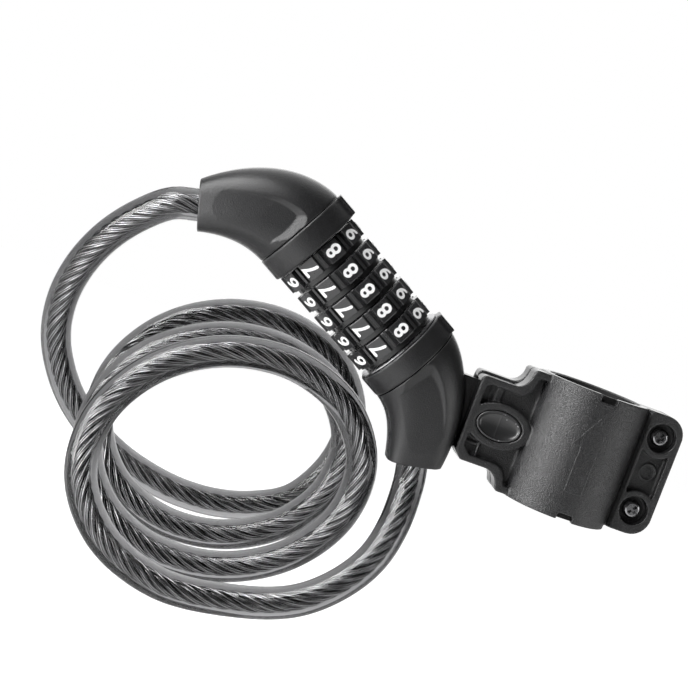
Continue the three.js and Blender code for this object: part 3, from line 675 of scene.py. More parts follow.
@dataclass(frozen=True)
class Metal:
    """Bare or blackened metal with fine drawn marks."""

    colour: Colour
    dark: Colour
    roughness: float
    roughness_spread: float = 0.16
    mark_size: float = 0.0005
    mark_depth: float = 0.00001
    cloud_size: float = 0.003

    def material(self, name: str) -> Material:
        """Build the finish.

        Args:
            name: name of the material.

        Returns:
            the material.
        """
        b = FinishBuilder(name)
        grain = b.group(GRAIN, Size=self.mark_size, Cloud=self.cloud_size)
        b.set(Base_Color=b.blend(grain["Cloud"], self.dark, self.colour), Metallic=1.0,
              Roughness=b.drift(grain["Cloud"], self.roughness, self.roughness_spread))
        b.bump(grain["Height"], self.mark_depth)
        return b.material


@dataclass(frozen=True)
class WireRopeSteel:
    """Galvanised strand wire: fine wires laid round each strand, with painted shade between the wires and in
    the valleys between strands.
    """

    colour: Colour
    valley_shade: Colour
    roughness: float
    # groove: the run of proudness over which the painted valley shade fades out
    groove: tuple[float, float] = (1.8, 2.53)
    wires: int = 7
    wire_lay: float = 0.011
    wire_depth: float = 0.00022
    wire_shade: float = 0.3
    cloud_size: float = 0.005
    cloud_least: float = 0.5

    def material(self, name: str) -> Material:
        """Build the finish from the strand's own round, along and proud attributes.

        Args:
            name: name of the material.

        Returns:
            the material.
        """
        b = FinishBuilder(name)
        around, along, proud = (b.tree.nodes.new("ShaderNodeAttribute") for _ in range(3))
        for node, label in ((around, "strand_round"), (along, "strand_along"), (proud, "strand_proud")):
            node.attribute_name = label
        turn = b.math("MULTIPLY", around.outputs["Fac"], self.wires)
        pitch = b.math("DIVIDE", along.outputs["Fac"], self.wire_lay)
        phase = b.math("MULTIPLY", b.math("SUBTRACT", turn, pitch), 2 * math.pi)
        wave = b.math("MULTIPLY_ADD", b.math("SINE", phase), 0.5, 0.5)
        cloud = b.math("ADD", b.group(GRAIN, Cloud=self.cloud_size)["Cloud"], self.cloud_least)
        # painted shade: darker between the wires and where the strands sink towards the core
        shade_tone = b.math("MULTIPLY_ADD", wave, 1 - self.wire_shade, self.wire_shade)
        shade_tone = b.math("MULTIPLY", shade_tone, ramp(b.tree, proud.outputs["Fac"], *self.groove))
        colour = b.blend(b.math("MULTIPLY", shade_tone, cloud), self.valley_shade, self.colour)
        b.set(Base_Color=colour, Metallic=1.0, Roughness=self.roughness)
        b.bump(wave, self.wire_depth)
        return b.material


@dataclass(frozen=True)
class ClearSheath:
    """Smoke-tinted clear vinyl moulded onto the rope."""

    depth_colour: Colour
    depth_density: float
    shade: Colour
    roughness: float
    refraction: float

    def material(self, name: str) -> Material:
        """Build the finish: plain glass, darker with depth, that lets lamps through.

        Args:
            name: name of the material.

        Returns:
            the material.
        """
        b = FinishBuilder(name)
        b.set(Base_Color=WHITE, Roughness=self.roughness, IOR=self.refraction,
              Transmission_Weight=1.0)
        clear = shader(b.tree, "BsdfTransparent", Color=(*self.shade, 1.0))
        depth = shader(b.tree, "VolumeAbsorption", Color=(*self.depth_colour, 1.0),
                       Density=self.depth_density)
        skin = mixed(b.tree, shader(b.tree, "LightPath")["Is Shadow Ray"], b.shader.outputs, clear)
        wire(b.tree, b.tree.nodes["Material Output"], Surface=skin, Volume=depth[0])
        return b.material


@dataclass(frozen=True)
class DigitPaint:
    """White tampo-printed ink with slightly uneven cover."""

    colour: Colour
    thin: Colour
    unevenness: float = 0.5
    roughness: float = 0.45
    grain_size: float = 0.0003
    grain_depth: float = 0.00001
    cloud_size: float = 0.0015

    def material(self, name: str) -> Material:
        """Build the finish.

        Args:
            name: name of the material.

        Returns:
            the material.
        """
        b = FinishBuilder(name)
        grain = b.group(GRAIN, Size=self.grain_size, Cloud=self.cloud_size)
        cover = b.math("MULTIPLY", grain["Cloud"], self.unevenness)
        b.set(Base_Color=b.blend(cover, self.colour, self.thin), Roughness=self.roughness)
        b.bump(grain["Height"], self.grain_depth)
        return b.material


class Slot(Enum):
    """The record's material slots."""

    BRACKET = "bracket_plastic"
    BODY = "body_plastic"
    BUTTON = "button_plastic"
    DIAL = "dial_plastic"
    INK = "digit_ink"
    LINER = "liner_rubber"
    STEEL = "bright_steel"
    SCREW = "dark_steel"
    ROPE = "rope_steel"
    SHEATH = "clear_sheath"


# painted highlight: a lighter grey laid on the outward corners of the plastics, by their edge share
EDGE_HIGHLIGHT = (0.08, 0.08, 0.083)
FINISHES = {
    Slot.BRACKET: MouldedPlastic((0.010, 0.010, 0.0105), (0.036, 0.036, 0.0368), EDGE_HIGHLIGHT, roughness=0.30,
                                 grain_size=0.00036, grain_depth=0.00013, speckle=0.8, edge=0.4),
    Slot.BODY: MouldedPlastic((0.009, 0.009, 0.0095), (0.022, 0.022, 0.023), EDGE_HIGHLIGHT, roughness=0.38,
                              grain_size=0.00034, grain_depth=0.00006, speckle=0.7, edge=0.0),
    Slot.BUTTON: MouldedPlastic((0.013, 0.013, 0.0135), (0.030, 0.030, 0.031), (0.30, 0.30, 0.31),
                                roughness=0.36, grain_size=0.0004, grain_depth=0.00002, speckle=0.15,
                                edge=0.9, skin=0.5),
    Slot.DIAL: MouldedPlastic((0.006, 0.006, 0.0065), (0.012, 0.012, 0.0125), EDGE_HIGHLIGHT, roughness=0.28,
                              grain_size=0.0005, grain_depth=0.00001, speckle=0.1, edge=0.35, skin=0.4),
    Slot.INK: DigitPaint((0.90, 0.90, 0.90), (0.70, 0.70, 0.70)),
    Slot.LINER: MouldedPlastic((0.008, 0.008, 0.008), (0.018, 0.018, 0.018), (0.03, 0.03, 0.03),
                               roughness=0.8, grain_size=0.0006, grain_depth=0.00006, speckle=0.3, edge=0.2),
    Slot.STEEL: Metal((0.72, 0.72, 0.73), (0.45, 0.45, 0.46), 0.28),
    Slot.SCREW: Metal((0.46, 0.46, 0.47), (0.16, 0.16, 0.163), 0.16),
    Slot.ROPE: WireRopeSteel((0.86, 0.86, 0.865), (0.005, 0.005, 0.0052), 0.24),
    Slot.SHEATH: ClearSheath((0.30, 0.30, 0.31), 215.0, (0.88, 0.88, 0.88), 0.02, 1.34),
}


class Workshop:
    """Finishes by slot, and what every piece gets when it is done."""

    def __init__(self) -> None:
        """Build each finish once."""
        self.materials = {slot: finish.material(slot.value) for slot, finish in FINISHES.items()}

    def dress(self, piece: Piece, slot: Slot) -> Piece:
        """Give a piece its finish.

        Args:
            piece: the piece.
            slot: its finish.

        Returns:
            the piece.
        """
        piece.data.materials.clear()
        piece.data.materials.append(self.materials[slot])
        return piece

    def fit(self, piece: Piece, slot: Slot, body: str, *nodes: str) -> Piece:
        """Dress a piece, put it on its body and let it stand for CAD nodes.

        Args:
            piece: the finished piece.
            slot: its finish.
            body: the body it rides on.
            nodes: the CAD nodes it replaces.

        Returns:
            the piece.
        """
        self.dress(piece, slot)
        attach(piece, body)
        if nodes:
            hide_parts(*nodes)
        log.info("%s on %s: %d faces", piece.name, body, len(piece.data.polygons))
        return piece

    def carry_over(self, slots: dict[str, Slot]) -> None:
        """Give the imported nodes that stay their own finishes.

        Args:
            slots: finish of each node.
        """
        for node, slot in slots.items():
            piece = frame["nodes"][node]
            if not piece.material_slots:
                piece.data.materials.append(None)
            for place in piece.material_slots:
                place.material = self.materials[slot]


# ---- geometry node trees -------------------------------------------------------------


class NodeRecipe:
    """A Geometry Nodes tree with named inputs, used once and turned into a plain mesh."""

    def __init__(self, name: str, inputs: dict[str, str]) -> None:
        """Start the tree.

        Args:
            name: name of the tree.
            inputs: socket type of each input between the geometry and the finish, by its label.
        """
        self.tree = bpy.data.node_groups.new(name, "GeometryNodeTree")
        face = self.tree.interface
        face.new_socket(name="Geometry", in_out="INPUT", socket_type="NodeSocketGeometry")
        self.ids = {}
        for label, kind in {**inputs, "Material": "Material"}.items():
            socket = face.new_socket(name=label, in_out="INPUT", socket_type=f"NodeSocket{kind}")
            self.ids[label] = socket.identifier
        face.new_socket(name="Geometry", in_out="OUTPUT", socket_type="NodeSocketGeometry")
        self.given = self.tree.nodes.new("NodeGroupInput").outputs
        self.leave = self.tree.nodes.new("NodeGroupOutput")

    def add(self, kind: str, settings: dict[str, str] | None = None, **inputs: object) -> Sockets:
        """Add a geometry node, set its properties, feed its inputs and give its outputs.

        Args:
            kind: type of the node.
            settings: its properties.
            inputs: its inputs by name.

        Returns:
            its outputs.
        """
        node = self.tree.nodes.new(f"GeometryNode{kind}")
        for label, value in (settings or {}).items():
            setattr(node, label, value)
        return wire(self.tree, node, **inputs)

    def math(self, operation: str, *values: object) -> Socket:
        """Add a Math node."""
        return math_node(self.tree, operation, *values)

    def vector(self, operation: str, first: Socket, second: Socket) -> Socket:
        """Add a Vector Math node; a scale takes its number second.

        Args:
            operation: the sum to do.
            first: first vector.
            second: second vector or scale.

        Returns:
            the result.
        """
        node = self.tree.nodes.new("ShaderNodeVectorMath")
        node.operation = operation
        feed(self.tree, node.inputs[0], first)
        feed(self.tree, node.inputs["Scale"] if operation == "SCALE" else node.inputs[1], second)
        return node.outputs["Value" if operation == "DISTANCE" else "Vector"]

    def store(self, label: str, geometry: Socket, value: Socket, kind: str = "FLOAT") -> Socket:
        """Keep a value on the points under a name."""
        settings = {"data_type": kind, "domain": "POINT"}
        return self.add("StoreNamedAttribute", settings, Name=label, Geometry=geometry, Value=value)[0]

    def circle(self, radius: Socket, sides: object) -> Socket:
        """A round profile."""
        return self.add("CurvePrimitiveCircle", Radius=radius, Resolution=sides)[0]

    def skin(self, curve: Socket, profile: Socket) -> Socket:
        """A profile drawn along a curve, closed at both ends."""
        return self.add("CurveToMesh", Curve=curve, Profile_Curve=profile, Fill_Caps=True)[0]

    def join(self, *parts: Socket) -> Socket:
        """Several geometries as one.

        Args:
            parts: the geometries.

        Returns:
            all of them.
        """
        node = self.tree.nodes.new("GeometryNodeJoinGeometry")
        for part in parts:
            self.tree.links.new(part, node.inputs[0])
        return node.outputs[0]

    def end(self, geometry: Socket) -> "NodeRecipe":
        """Close the tree with real geometry and its finish, and give the recipe back.

        Args:
            geometry: what the tree makes.

        Returns:
            this recipe.
        """
        real = self.add("RealizeInstances", Geometry=geometry)[0]
        done = self.add("SetMaterial", Geometry=real, Material=self.given["Material"])[0]
        self.tree.links.new(done, self.leave.inputs[0])
        return self

    def end_smooth(self, geometry: Socket) -> "NodeRecipe":
        """Close the tree on a smooth-shaded geometry."""
        return self.end(self.add("SetShadeSmooth", Geometry=geometry)[0])

    def make(self, name: str, base: Piece, values: dict[str, object],
             where: Matrix = Matrix.Identity(4)) -> Piece:
        """Run the tree on a base object and keep the result as a plain mesh.

        Args:
            name: name of the new piece.
            base: object whose mesh enters the tree; it is removed.
            values: one value for each named input.
            where: from millimetres in the piece's frame to the part's frame.

        Returns:
            the piece, in metres.
        """
        modifier = base.modifiers.new("recipe", "NODES")
        modifier.node_group = self.tree
        for label, value in values.items():
            modifier[self.ids[label]] = value
        piece = placed(name, baked(base), where)
        bpy.data.objects.remove(base)
        return piece


def chain(points: Sequence[Vector]) -> Piece:
    """A mesh of one open line of edges.

    Args:
        points: its points in order.

    Returns:
        the object.
    """
    mesh = bpy.data.meshes.new("chain")
    mesh.from_pydata([tuple(p) for p in points], [(i, i + 1) for i in range(len(points) - 1)], [])
    return put("chain", mesh)


def tube_recipe() -> NodeRecipe:
    """A round tube of one radius along the base line.

    Returns:
        the recipe.
    """
    r = NodeRecipe("Sheath along its path", {"Radius": "Float", "Sides": "Int"})
    curve = r.add("MeshToCurve", Mesh=r.given["Geometry"])[0]
    return r.end_smooth(r.skin(curve, r.circle(r.given["Radius"], r.given["Sides"])))


def rope_recipe(strand_sides: int = 10, core_sides: int = 12) -> NodeRecipe:
    """Strands laid round a core along the base line, with round, along and proud attributes.

    Args:
        strand_sides: sides of a strand.
        core_sides: sides of the core.

    Returns:
        the recipe.
    """
    r = NodeRecipe("Strands of the rope", {"Strands": "Int", "Lay": "Float", "Pitch radius": "Float",
                                           "Strand radius": "Float", "Core radius": "Float"})
    curve = r.add("MeshToCurve", Mesh=r.given["Geometry"])[0]
    copies = r.add("DuplicateElements", {"domain": "SPLINE"}, Geometry=curve, Amount=r.given["Strands"])
    length, here = r.add("SplineParameter")["Length"], r.add("InputPosition")[0]
    normal, tangent = r.add("InputNormal")[0], r.add("InputTangent")[0]
    share = r.math("DIVIDE", copies["Duplicate Index"], r.given["Strands"])
    turns = r.math("DIVIDE", length, r.given["Lay"])
    angle = r.math("MULTIPLY", r.math("ADD", share, turns), 2 * math.pi)
    across = r.vector("SCALE", normal, r.math("COSINE", angle))
    over = r.vector("SCALE", r.vector("CROSS_PRODUCT", tangent, normal), r.math("SINE", angle))
    offset = r.vector("SCALE", r.vector("ADD", across, over), r.given["Pitch radius"])
    laid = r.store("strand_along", copies["Geometry"], r.math("MULTIPLY", length, MILLIMETRE))
    laid = r.store("rope_middle", laid, here, "FLOAT_VECTOR")
    laid = r.add("SetPosition", Geometry=laid, Offset=offset)[0]
    profile = r.circle(r.given["Strand radius"], strand_sides)
    strands = r.skin(laid, r.store("strand_round", profile, r.add("SplineParameter")["Factor"]))
    middle = r.add("InputNamedAttribute", {"data_type": "FLOAT_VECTOR"}, Name="rope_middle")["Attribute"]
    strands = r.store("strand_proud", strands, r.vector("DISTANCE", here, middle))
    return r.end_smooth(r.join(strands, r.skin(curve, r.circle(r.given["Core radius"], core_sides))))


def dial_recipe() -> NodeRecipe:
    """Figure pads and finger ribs repeated round a dial's axis.

    Returns:
        the recipe.
    """
    r = NodeRecipe("Pads and ribs round a dial", {"Pad": "Object", "Rib": "Object", "Count": "Int",
                                                  "Phase": "Float"})
    step = r.math("DIVIDE", 2 * math.pi, r.given["Count"])
    index = r.add("InputIndex")[0]
    rows = []
    for label, lead in (("Rib", 0.5), ("Pad", 0.0)):
        turn = r.math("MULTIPLY", r.math("ADD", index, lead), step)
        angle = shader(r.tree, "CombineXYZ", X=r.math("ADD", turn, r.given["Phase"]))[0]
        line = r.add("MeshLine", Count=r.given["Count"], Offset=(0, 0, 0))[0]
        shape = r.add("ObjectInfo", Object=r.given[label])["Geometry"]
        rows.append(r.add("InstanceOnPoints", Points=line, Instance=shape, Rotation=angle)[0])
    return r.end(r.join(*rows, r.given["Geometry"]))


# ---- elbows --------------------------------------------------------------------------


class End(Enum):
    """The two ends of the lock body, by their side along the dial axis."""

    PLUG = -1
    FIXED = 1


@dataclass
class Elbow:
    """A bent end of the lock body with its thumb hollow, throat and round root.

    Its edges are curves from the root, which starts at its own distance from the lock's middle.
    The hollow's wall runs from the brow down to the foot, both drawn from the root as well. Levels
    of the hollow's cutter count from its floor, the third from the skin above it.
    """

    end: End
    outer: Sequence[Point2]
    inner: Sequence[Point2]
    start: float = 33.0
    root_radius: float = 18.3
    squareness: float = 1.2
    flattening: float = 0.8
    sections: int = 32
    throat_radius: float = 6.4
    throat_depth: float = 20.0
    throat_clear: float = 2.0
    hollow_depth: float = 2.2
    hollow_end: float = 0.88
    hollow_fade: float = 1.6
    hollow_squareness: float = 0.7
    hollow_reach: float = 8.0
    hollow_margin: float = 1.0
    hollow_levels: Sequence[float] = (-3.0, 0.0, 0.5, 14.0)
    slope_drop: float = 5.4
    slope_length: float = 36.0
    brow: Sequence[Point2] = ((0.8, 7.0), (9.5, 6.0), (19.5, -1.4), (28.5, -11.0))
    foot: Sequence[Point2] = ((5.2, 1.4), (12.5, 0.2), (20, -4.6), (28.5, -11.6))
    brow_heel: Sequence[Point2] = ((-3.0, -14.0), (-1.8, -7.0), (-1.6, 6.4), (0.8, 7.0))
    foot_heel: Sequence[Point2] = ((2.2, -15.0), (3.6, -8.0), (4.4, 0.4), (5.2, 1.4))
    skirt: Sequence[Point2] = ((46.0, -14.0), (46.0, -46.0), (8.0, -46.0))
    grain: float = 0.36

    def edges(self, t: float) -> tuple[Vector, Vector]:
        """Outer and inner edge point at a share of the bend.

        Args:
            t: share of the bend.

        Returns:
            outer and inner point in the plane of the bend.
        """
        sides = []
        for points, root in ((self.outer, self.root_radius), (self.inner, -self.root_radius)):
            x, z = cubic(t, [(0.0, root), *points])
            sides.append(Vector((self.start + x, z)))
        return sides[0], sides[1]

    def throat(self, depth: float) -> Vector:
        """A point on the cable axis, a depth in from the mouth, in the lock's frame.

        Args:
            depth: how far in.

        Returns:
            the point.
        """
        outer, inner = self.edges(1.0)
        across = (outer - inner).normalized()
        at = (outer + inner) / 2 - Vector((across.y, -across.x)) * depth
        return Vector((self.end.value * at.x, 0.0, at.y))

    def ring(self, t: float, sunk: bool = False, count: int = 96) -> list[Point3]:
        """One rounded-square section of the bend, or of the flatter body that its hollow's floor lies on.

        Args:
            t: share of the bend.
            sunk: the body under the hollow.
            count: number of points.

        Returns:
            the section.
        """
        outer, inner = self.edges(t)
        middle, across = (outer + inner) / 2, (outer - inner).normalized()
        wide = (outer - inner).length / 2
        deep = wide + self.flattening * t * t
        power = 2 + self.squareness * t
        if sunk:
            wide += self.hollow_margin
            deep -= self.hollow_depth * (1 - (t / self.hollow_end) ** self.hollow_fade)
            power = 2 + self.hollow_squareness + self.squareness * t
        points = []
        for a in (2 * math.pi * j / count for j in range(count)):
            flat = middle + across * wide * signed_power(math.cos(a), 2 / power)
            points.append((self.end.value * flat.x, deep * signed_power(math.sin(a), 2 / power), flat.y))
        return points

    def rings(self, sunk: bool = False) -> list[list[Point3]]:
        """The sections from the root to the mouth."""
        return [self.ring(i / self.sections, sunk) for i in range(self.sections + 1)]

    def hollow(self, front: int) -> Stock:
        """The cutter of the thumb hollow on one face: a sloped crescent wall down to the sunk body.

        Args:
            front: -1 for the front face, 1 for the back.

        Returns:
            the cutter.
        """
        brow = [*bezier(self.brow_heel, 10)[:-1], *bezier(self.brow, 20), *self.skirt]
        foot = [*bezier(self.foot_heel, 10)[:-1], *bezier(self.foot, 20), *self.skirt]
        below, level, above, clear = self.hollow_levels
        rings = []
        for outline, rise in ((foot, below), (foot, level), (brow, self.hollow_depth + above), (brow, clear)):
            ring = []
            for x, z in outline:
                drop = self.slope_drop * min(1.0, max(0.0, x / self.slope_length))
                floor = self.root_radius - self.hollow_depth - drop
                ring.append((self.end.value * (self.start + x), front * (floor + rise), z))
            rings.append(ring)
        root = [(self.end.value * (self.start - self.hollow_reach), y, z) for _, y, z in self.ring(0.0, True)]
        return loft(rings).cut(loft([root, *self.rings(True)]))

    def bore(self) -> Stock:
        """The cutter of the cable throat.

        Returns:
            the cutter.
        """
        mouth, deep = self.throat(-self.throat_clear), self.throat(self.throat_depth)
        turn = Vector((0, 0, 1)).rotation_difference((deep - mouth).normalized()).to_matrix().to_4x4()
        hole = bar(Axis.Z, self.throat_radius, 0, self.throat_depth + self.throat_clear)
        return hole.moved(Matrix.Translation(mouth) @ turn)

    def solid(self) -> Stock:
        """The whole elbow before casting."""
        return loft(self.rings()).cut(self.hollow(-1), self.hollow(1), self.bore())


@dataclass
class Tongue:
    """The flat tongue on the fixed elbow that slides into the bracket."""

    land_x: float = -44.3
    root_x: float = -55.0
    tip_x: float = -22.0
    middle_y: float = 1.8
    thickness: float = 8.0
    middle_z: float = -0.7
    height: float = 27.0
    window: tuple[float, float, float] = (-38.5, -26.2, 8.0)

    def slab(self, low: float, high: float, thick: float, tall: float) -> Stock:
        """A block about the tongue's middle, by its half thickness and half height."""
        return block(low, high, self.middle_y - thick, self.middle_y + thick,
                     self.middle_z - tall, self.middle_z + tall)

    def solid(self) -> Stock:
        """The tongue with its window, in the part's frame.

        Returns:
            the solid.
        """
        half, (low, high, reach) = self.thickness / 2, self.window
        window = self.slab(low, high, half + 1, reach)
        return self.slab(self.root_x, self.tip_x, half, self.height / 2).cut(window)

    def land(self) -> Stock:
        """What the fixed elbow leaves free for the bracket, in the part's frame."""
        return block(self.land_x, 40, -40, 40, -60, 60)


@dataclass
class Collar:
    """The ring between an elbow and the dials, with the index tab of the code line."""

    end: End
    near: float
    far: float = 32.8
    radius: float = 18.5
    bore: float = 9.2
    chamfer: float = 0.35
    tab_width: float = 9.0
    tab_reach: float = 19.6
    tab_root: float = 4.0
    tab_inset: float = 0.3
    grain: float = 0.4

    def solid(self) -> Stock:
        """The collar with its tab, before casting.

        Returns:
            the solid.
        """
        n, f, r, c = self.near, self.far, self.radius, self.chamfer
        profile = [(self.bore, n), (r - c, n), (r, n + c), (r, f - c), (r - c, f), (self.bore, f)]
        ring = turned([(radius, self.end.value * h) for radius, h in profile], Axis.X, FINE_SIDES)
        x0, x1 = on_side(self.end.value, n + self.tab_inset, f - self.tab_inset)
        half = self.tab_width / 2
        tab = block(x0, x1, -half, half, r - self.tab_root, self.tab_reach)
        return ring.join(tab.moved(Matrix.Rotation(INDEX_TURN, 4, "X")))


@dataclass
class LockBody:
    """Elbows and collars of the lock."""

    shop: Workshop
    plug: Elbow = field(default_factory=lambda: Elbow(
        End.PLUG, outer=[(14, 17), (29, 6), (36.8, -15.4)], inner=[(9, -18.5), (17, -23), (23.2, -29)]))
    fixed: Elbow = field(default_factory=lambda: Elbow(
        End.FIXED, outer=[(12.5, 16.4), (28, 3.5), (36.2, -17.7)], inner=[(8, -18.8), (14, -24), (20, -31)]))
    tongue: Tongue = field(default_factory=Tongue)
    plug_collar: Collar = field(default_factory=lambda: Collar(End.PLUG, near=23.8))
    fixed_collar: Collar = field(default_factory=lambda: Collar(End.FIXED, near=24.3))

    def build(self) -> None:
        """Make and fit the four pieces."""
        upper = self.plug.solid().cast(self.plug.grain).place("plug_elbow", LOCK_FRAME)
        self.shop.fit(upper, Slot.BODY, "plug", "upper_elbow")
        to_lock = LOCK_FRAME.inverted()
        land, tongue = self.tongue.land().moved(to_lock), self.tongue.solid()
        for tool in (tongue, *tongue.tools):
            tool.moved(to_lock)
        lower = self.fixed.solid().cut(land).join(tongue).cut(self.fixed.bore())
        lower = lower.cast(self.fixed.grain).place("fixed_elbow", LOCK_FRAME)
        self.shop.fit(lower, Slot.BODY, "lock", "lower_elbow")
        for name, body, collar, node in (
            ("plug_collar", "plug", self.plug_collar, "upper_collar"),
            ("fixed_collar", "lock", self.fixed_collar, "lower_collar"),
        ):
            piece = collar.solid().cast(collar.grain).place(name, LOCK_FRAME)
            self.shop.fit(piece, Slot.BODY, body, node)


# ---- dials ---------------------------------------------------------------------------


@dataclass
class FigureSet:
    """Rounded bold figures drawn with a stroke of one width, printed as a thin raised skin."""

    height: float = 6.0
    width: float = 3.85
    stroke: float = 1.08
    ink: float = 0.07
    sink: float = 0.1
    least_mitre: float = 0.5
    cap_steps: int = 8

    def strokes(self, figure: int) -> list[list[Point2]]:
        """Centre lines of one figure in millimetres, its middle at the origin.

        Args:
            figure: 0 to 9.

        Returns:
            one line of points for each stroke.
        """
        w, h = (self.width - self.stroke) / 2, (self.height - self.stroke) / 2

        def loop(y: float, rx: float, ry: float, start: float = 0, end: float = 360,
                 steps: int = 32) -> list[Point2]:
            """A turn about the figure's middle line."""
            return arc(0, y, rx, ry, start, end, steps)

        bowl, small, large = h * 0.63, h * 0.475, h * 0.555
        belly = loop(large - h, w, large, 125, -145, 20)
        nine = [loop(h - bowl, w, bowl),
                bezier([(w, h - bowl), (w, -h * 0.45), (w * 0.25, -h), (-w * 0.7, -h)], 14)]
        leg = bezier([(w, h), (w * 0.1, h * 0.3), (-w * 0.35, -h * 0.4), (-w * 0.5, -h)], 12)
        return {
            0: [loop(0, w, h)],
            1: [[(-w * 0.6, h * 0.6), (w * 0.2, h), (w * 0.2, -h)]],
            2: [[*loop(h - w * 0.95, w * 0.95, w * 0.95, 165, -40, 18), (-w, -h), (w, -h)]],
            3: [loop(h - small, w * 0.85, small, 145, -90, 18), loop(large - h, w, large, 90, -145, 18)],
            4: [[(w * 0.4, -h), (w * 0.4, h), (-w, -h * 0.35), (w, -h * 0.35)]],
            5: [[(w * 0.8, h), (-w * 0.7, h), (-w * 0.85, h * 0.1), *belly]],
            6: [[(-x, -y) for x, y in line] for line in nine],
            7: [[(-w, h), *leg]],
            8: [loop(h - small, w * 0.86, small), loop(large - h, w, large)],
            9: nine,
        }[figure]

    def band(self, line: Sequence[Point2]) -> Stock:
        """One stroke as a flat band, closed on itself or rounded at both ends.

        Args:
            line: centre line of the stroke.

        Returns:
            the band.
        """
        points = [Vector(p) for p in line]
        closed = (points[0] - points[-1]).length < 1e-6
        points = points[:-1] if closed else points
        left, right = [], []
        for i, p in enumerate(points):
            a = points[i - 1] if i or closed else p
            b = points[(i + 1) % len(points)] if p is not points[-1] or closed else p
            after = (b - p).normalized() if b != p else (p - a).normalized()
            before = (p - a).normalized() if a != p else after
            side = (before + after).normalized().orthogonal()
            side *= self.stroke / 2 / max(self.least_mitre, side.dot(before.orthogonal()))
            left.append(p + side)
            right.append(p - side)
        if closed:
            inner, outer = sorted((left, right), key=lambda ring: sum(p.length for p in ring))
            levels = ((inner, -self.sink), (outer, -self.sink), (outer, self.ink), (inner, self.ink))
            return loft([[(*p, z) for p in ring] for ring, z in levels], True)
        quarter = Matrix.Rotation(math.pi / 2, 2) @ (left[-1] - points[-1])
        step = math.copysign(math.pi / self.cap_steps, quarter.dot(points[-1] - points[-2]))

        def cap(at: Vector, edge: Vector) -> list[Vector]:
            """Half a turn about an end point, from one edge of the band to the other."""
            return [at + Matrix.Rotation(step * k, 2) @ (edge - at) for k in range(1, self.cap_steps)]

        rim = [*left, *cap(points[-1], left[-1]), *reversed(right), *cap(points[0], right[0])]
        return plate([tuple(p) for p in rim], Axis.Z, -self.sink, self.ink)

    def shape(self, figure: int) -> Mesh:
        """One figure as a single flat body, read from above.

        Args:
            figure: 0 to 9.

        Returns:
            its mesh.
        """
        bands = [self.band(line) for line in self.strokes(figure)]
        whole = bands[0].join(*bands[1:])
        mesh = baked(whole.object)
        whole.clear()
        return mesh


@dataclass
class DialStack:
    """Five number dials with their figures."""

    shop: Workshop
    count: int = 5
    numbers: int = 10
    pitch: float = 9.4
    gap: float = 0.3
    radius: float = 17.0
    face: float = 7.1
    neck: float = 15.2
    groove: float = 1.5
    pad_width: float = 6.6
    pad_chamfer: float = 0.22
    rib_width: float = 1.2
    rib_drop: float = 0.4
    rib_inset: float = 0.15
    rib_chamfer: float = 0.18
    sink: float = 0.8
    ring_chamfer: float = 0.25
    neck_chamfer: float = 0.2
    clutch_bore: float = 10.0
    tooth_bore: float = 7.5
    web: float = 3.2
    figures: FigureSet = field(default_factory=FigureSet)

    def core(self, start: float) -> Stock:
        """The ring under the pads, with the neck towards the fixed end.

        Args:
            start: where the dial starts along the axis.

        Returns:
            the ring.
        """
        end, floor, shoulder = start + self.pitch - self.gap, self.radius - self.groove, start + self.face
        web, c, n = end - self.web, self.ring_chamfer, self.neck_chamfer
        profile = [(self.clutch_bore, start), (floor - c, start), (floor, start + c), (floor, shoulder - c),
                   (floor - c, shoulder), (self.neck, shoulder), (self.neck, end - n), (self.neck - n, end),
                   (self.tooth_bore, end), (self.tooth_bore, web), (self.clutch_bore, web)]
        return turned(profile, Axis.X, 120)

    def standing(self, start: float, width: float, inset: float, drop: float, chamfer: float) -> Stock:
        """A pad or rib at the top of the dial, sunk into the ring.

        Args:
            start: where the dial starts along the axis.
            width: width across the axis.
            inset: gap to both sides of the ring.
            drop: how far below the pads.
            chamfer: width of its edges.

        Returns:
            the solid.
        """
        x0, x1, half = start + inset, start + self.face - inset, width / 2
        low, high = self.radius - self.groove - self.sink, self.radius - drop
        return block(x0, x1, -half, half, low, high).bevel(chamfer)

    def printed(self, shapes: Sequence[Mesh], start: float) -> Mesh:
        """The ten figures of one dial, their tops turned away from the tab.

        Args:
            shapes: the figures, flat and read from above.
            start: where the dial starts along the axis.

        Returns:
            one mesh in the lock's frame.
        """
        edit = bmesh.new()
        for number, shape in enumerate(shapes):
            turn = INDEX_TURN + 2 * math.pi * (self.numbers - number) / self.numbers
            out = Matrix.Translation((start + self.face / 2, 0, self.radius))
            copy = shape.copy()
            copy.transform(Matrix.Rotation(turn, 4, "X") @ out @ Matrix.Rotation(math.pi, 4, "Z"))
            edit.from_mesh(copy)
            bpy.data.meshes.remove(copy)
        mesh = bpy.data.meshes.new("figures")
        edit.to_mesh(mesh)
        edit.free()
        return mesh

    def build(self) -> None:
        """Make and fit the dials and their figures."""
        recipe = dial_recipe()
        shapes = [self.figures.shape(number) for number in range(self.numbers)]
        for k in range(self.count):
            name = f"dial_{k + 1}"
            start = (k - (self.count - 1) / 2) * self.pitch - (self.pitch - self.gap) / 2
            pad = self.standing(start, self.pad_width, 0.0, 0.0, self.pad_chamfer)
            rib = self.standing(start, self.rib_width, self.rib_inset, self.rib_drop, self.rib_chamfer)
            piece = recipe.make(f"number_{name}", self.core(start).object, {
                "Pad": pad.object, "Rib": rib.object, "Count": self.numbers, "Phase": INDEX_TURN,
                "Material": self.shop.materials[Slot.DIAL]}, LOCK_FRAME)
            pad.clear()
            rib.clear()
            self.shop.fit(piece, Slot.DIAL, name, name)
            figures = placed(f"figures_{name}", self.printed(shapes, start), LOCK_FRAME)
            self.shop.fit(figures, Slot.INK, name)


# ---- cable ---------------------------------------------------------------------------


def swell(terms: Point3, off: float) -> float:
    """A size that drifts with its distance from the middle turn: level, slope and bend."""
    level, slope, bend = terms
    return level + slope * off + bend * off**2


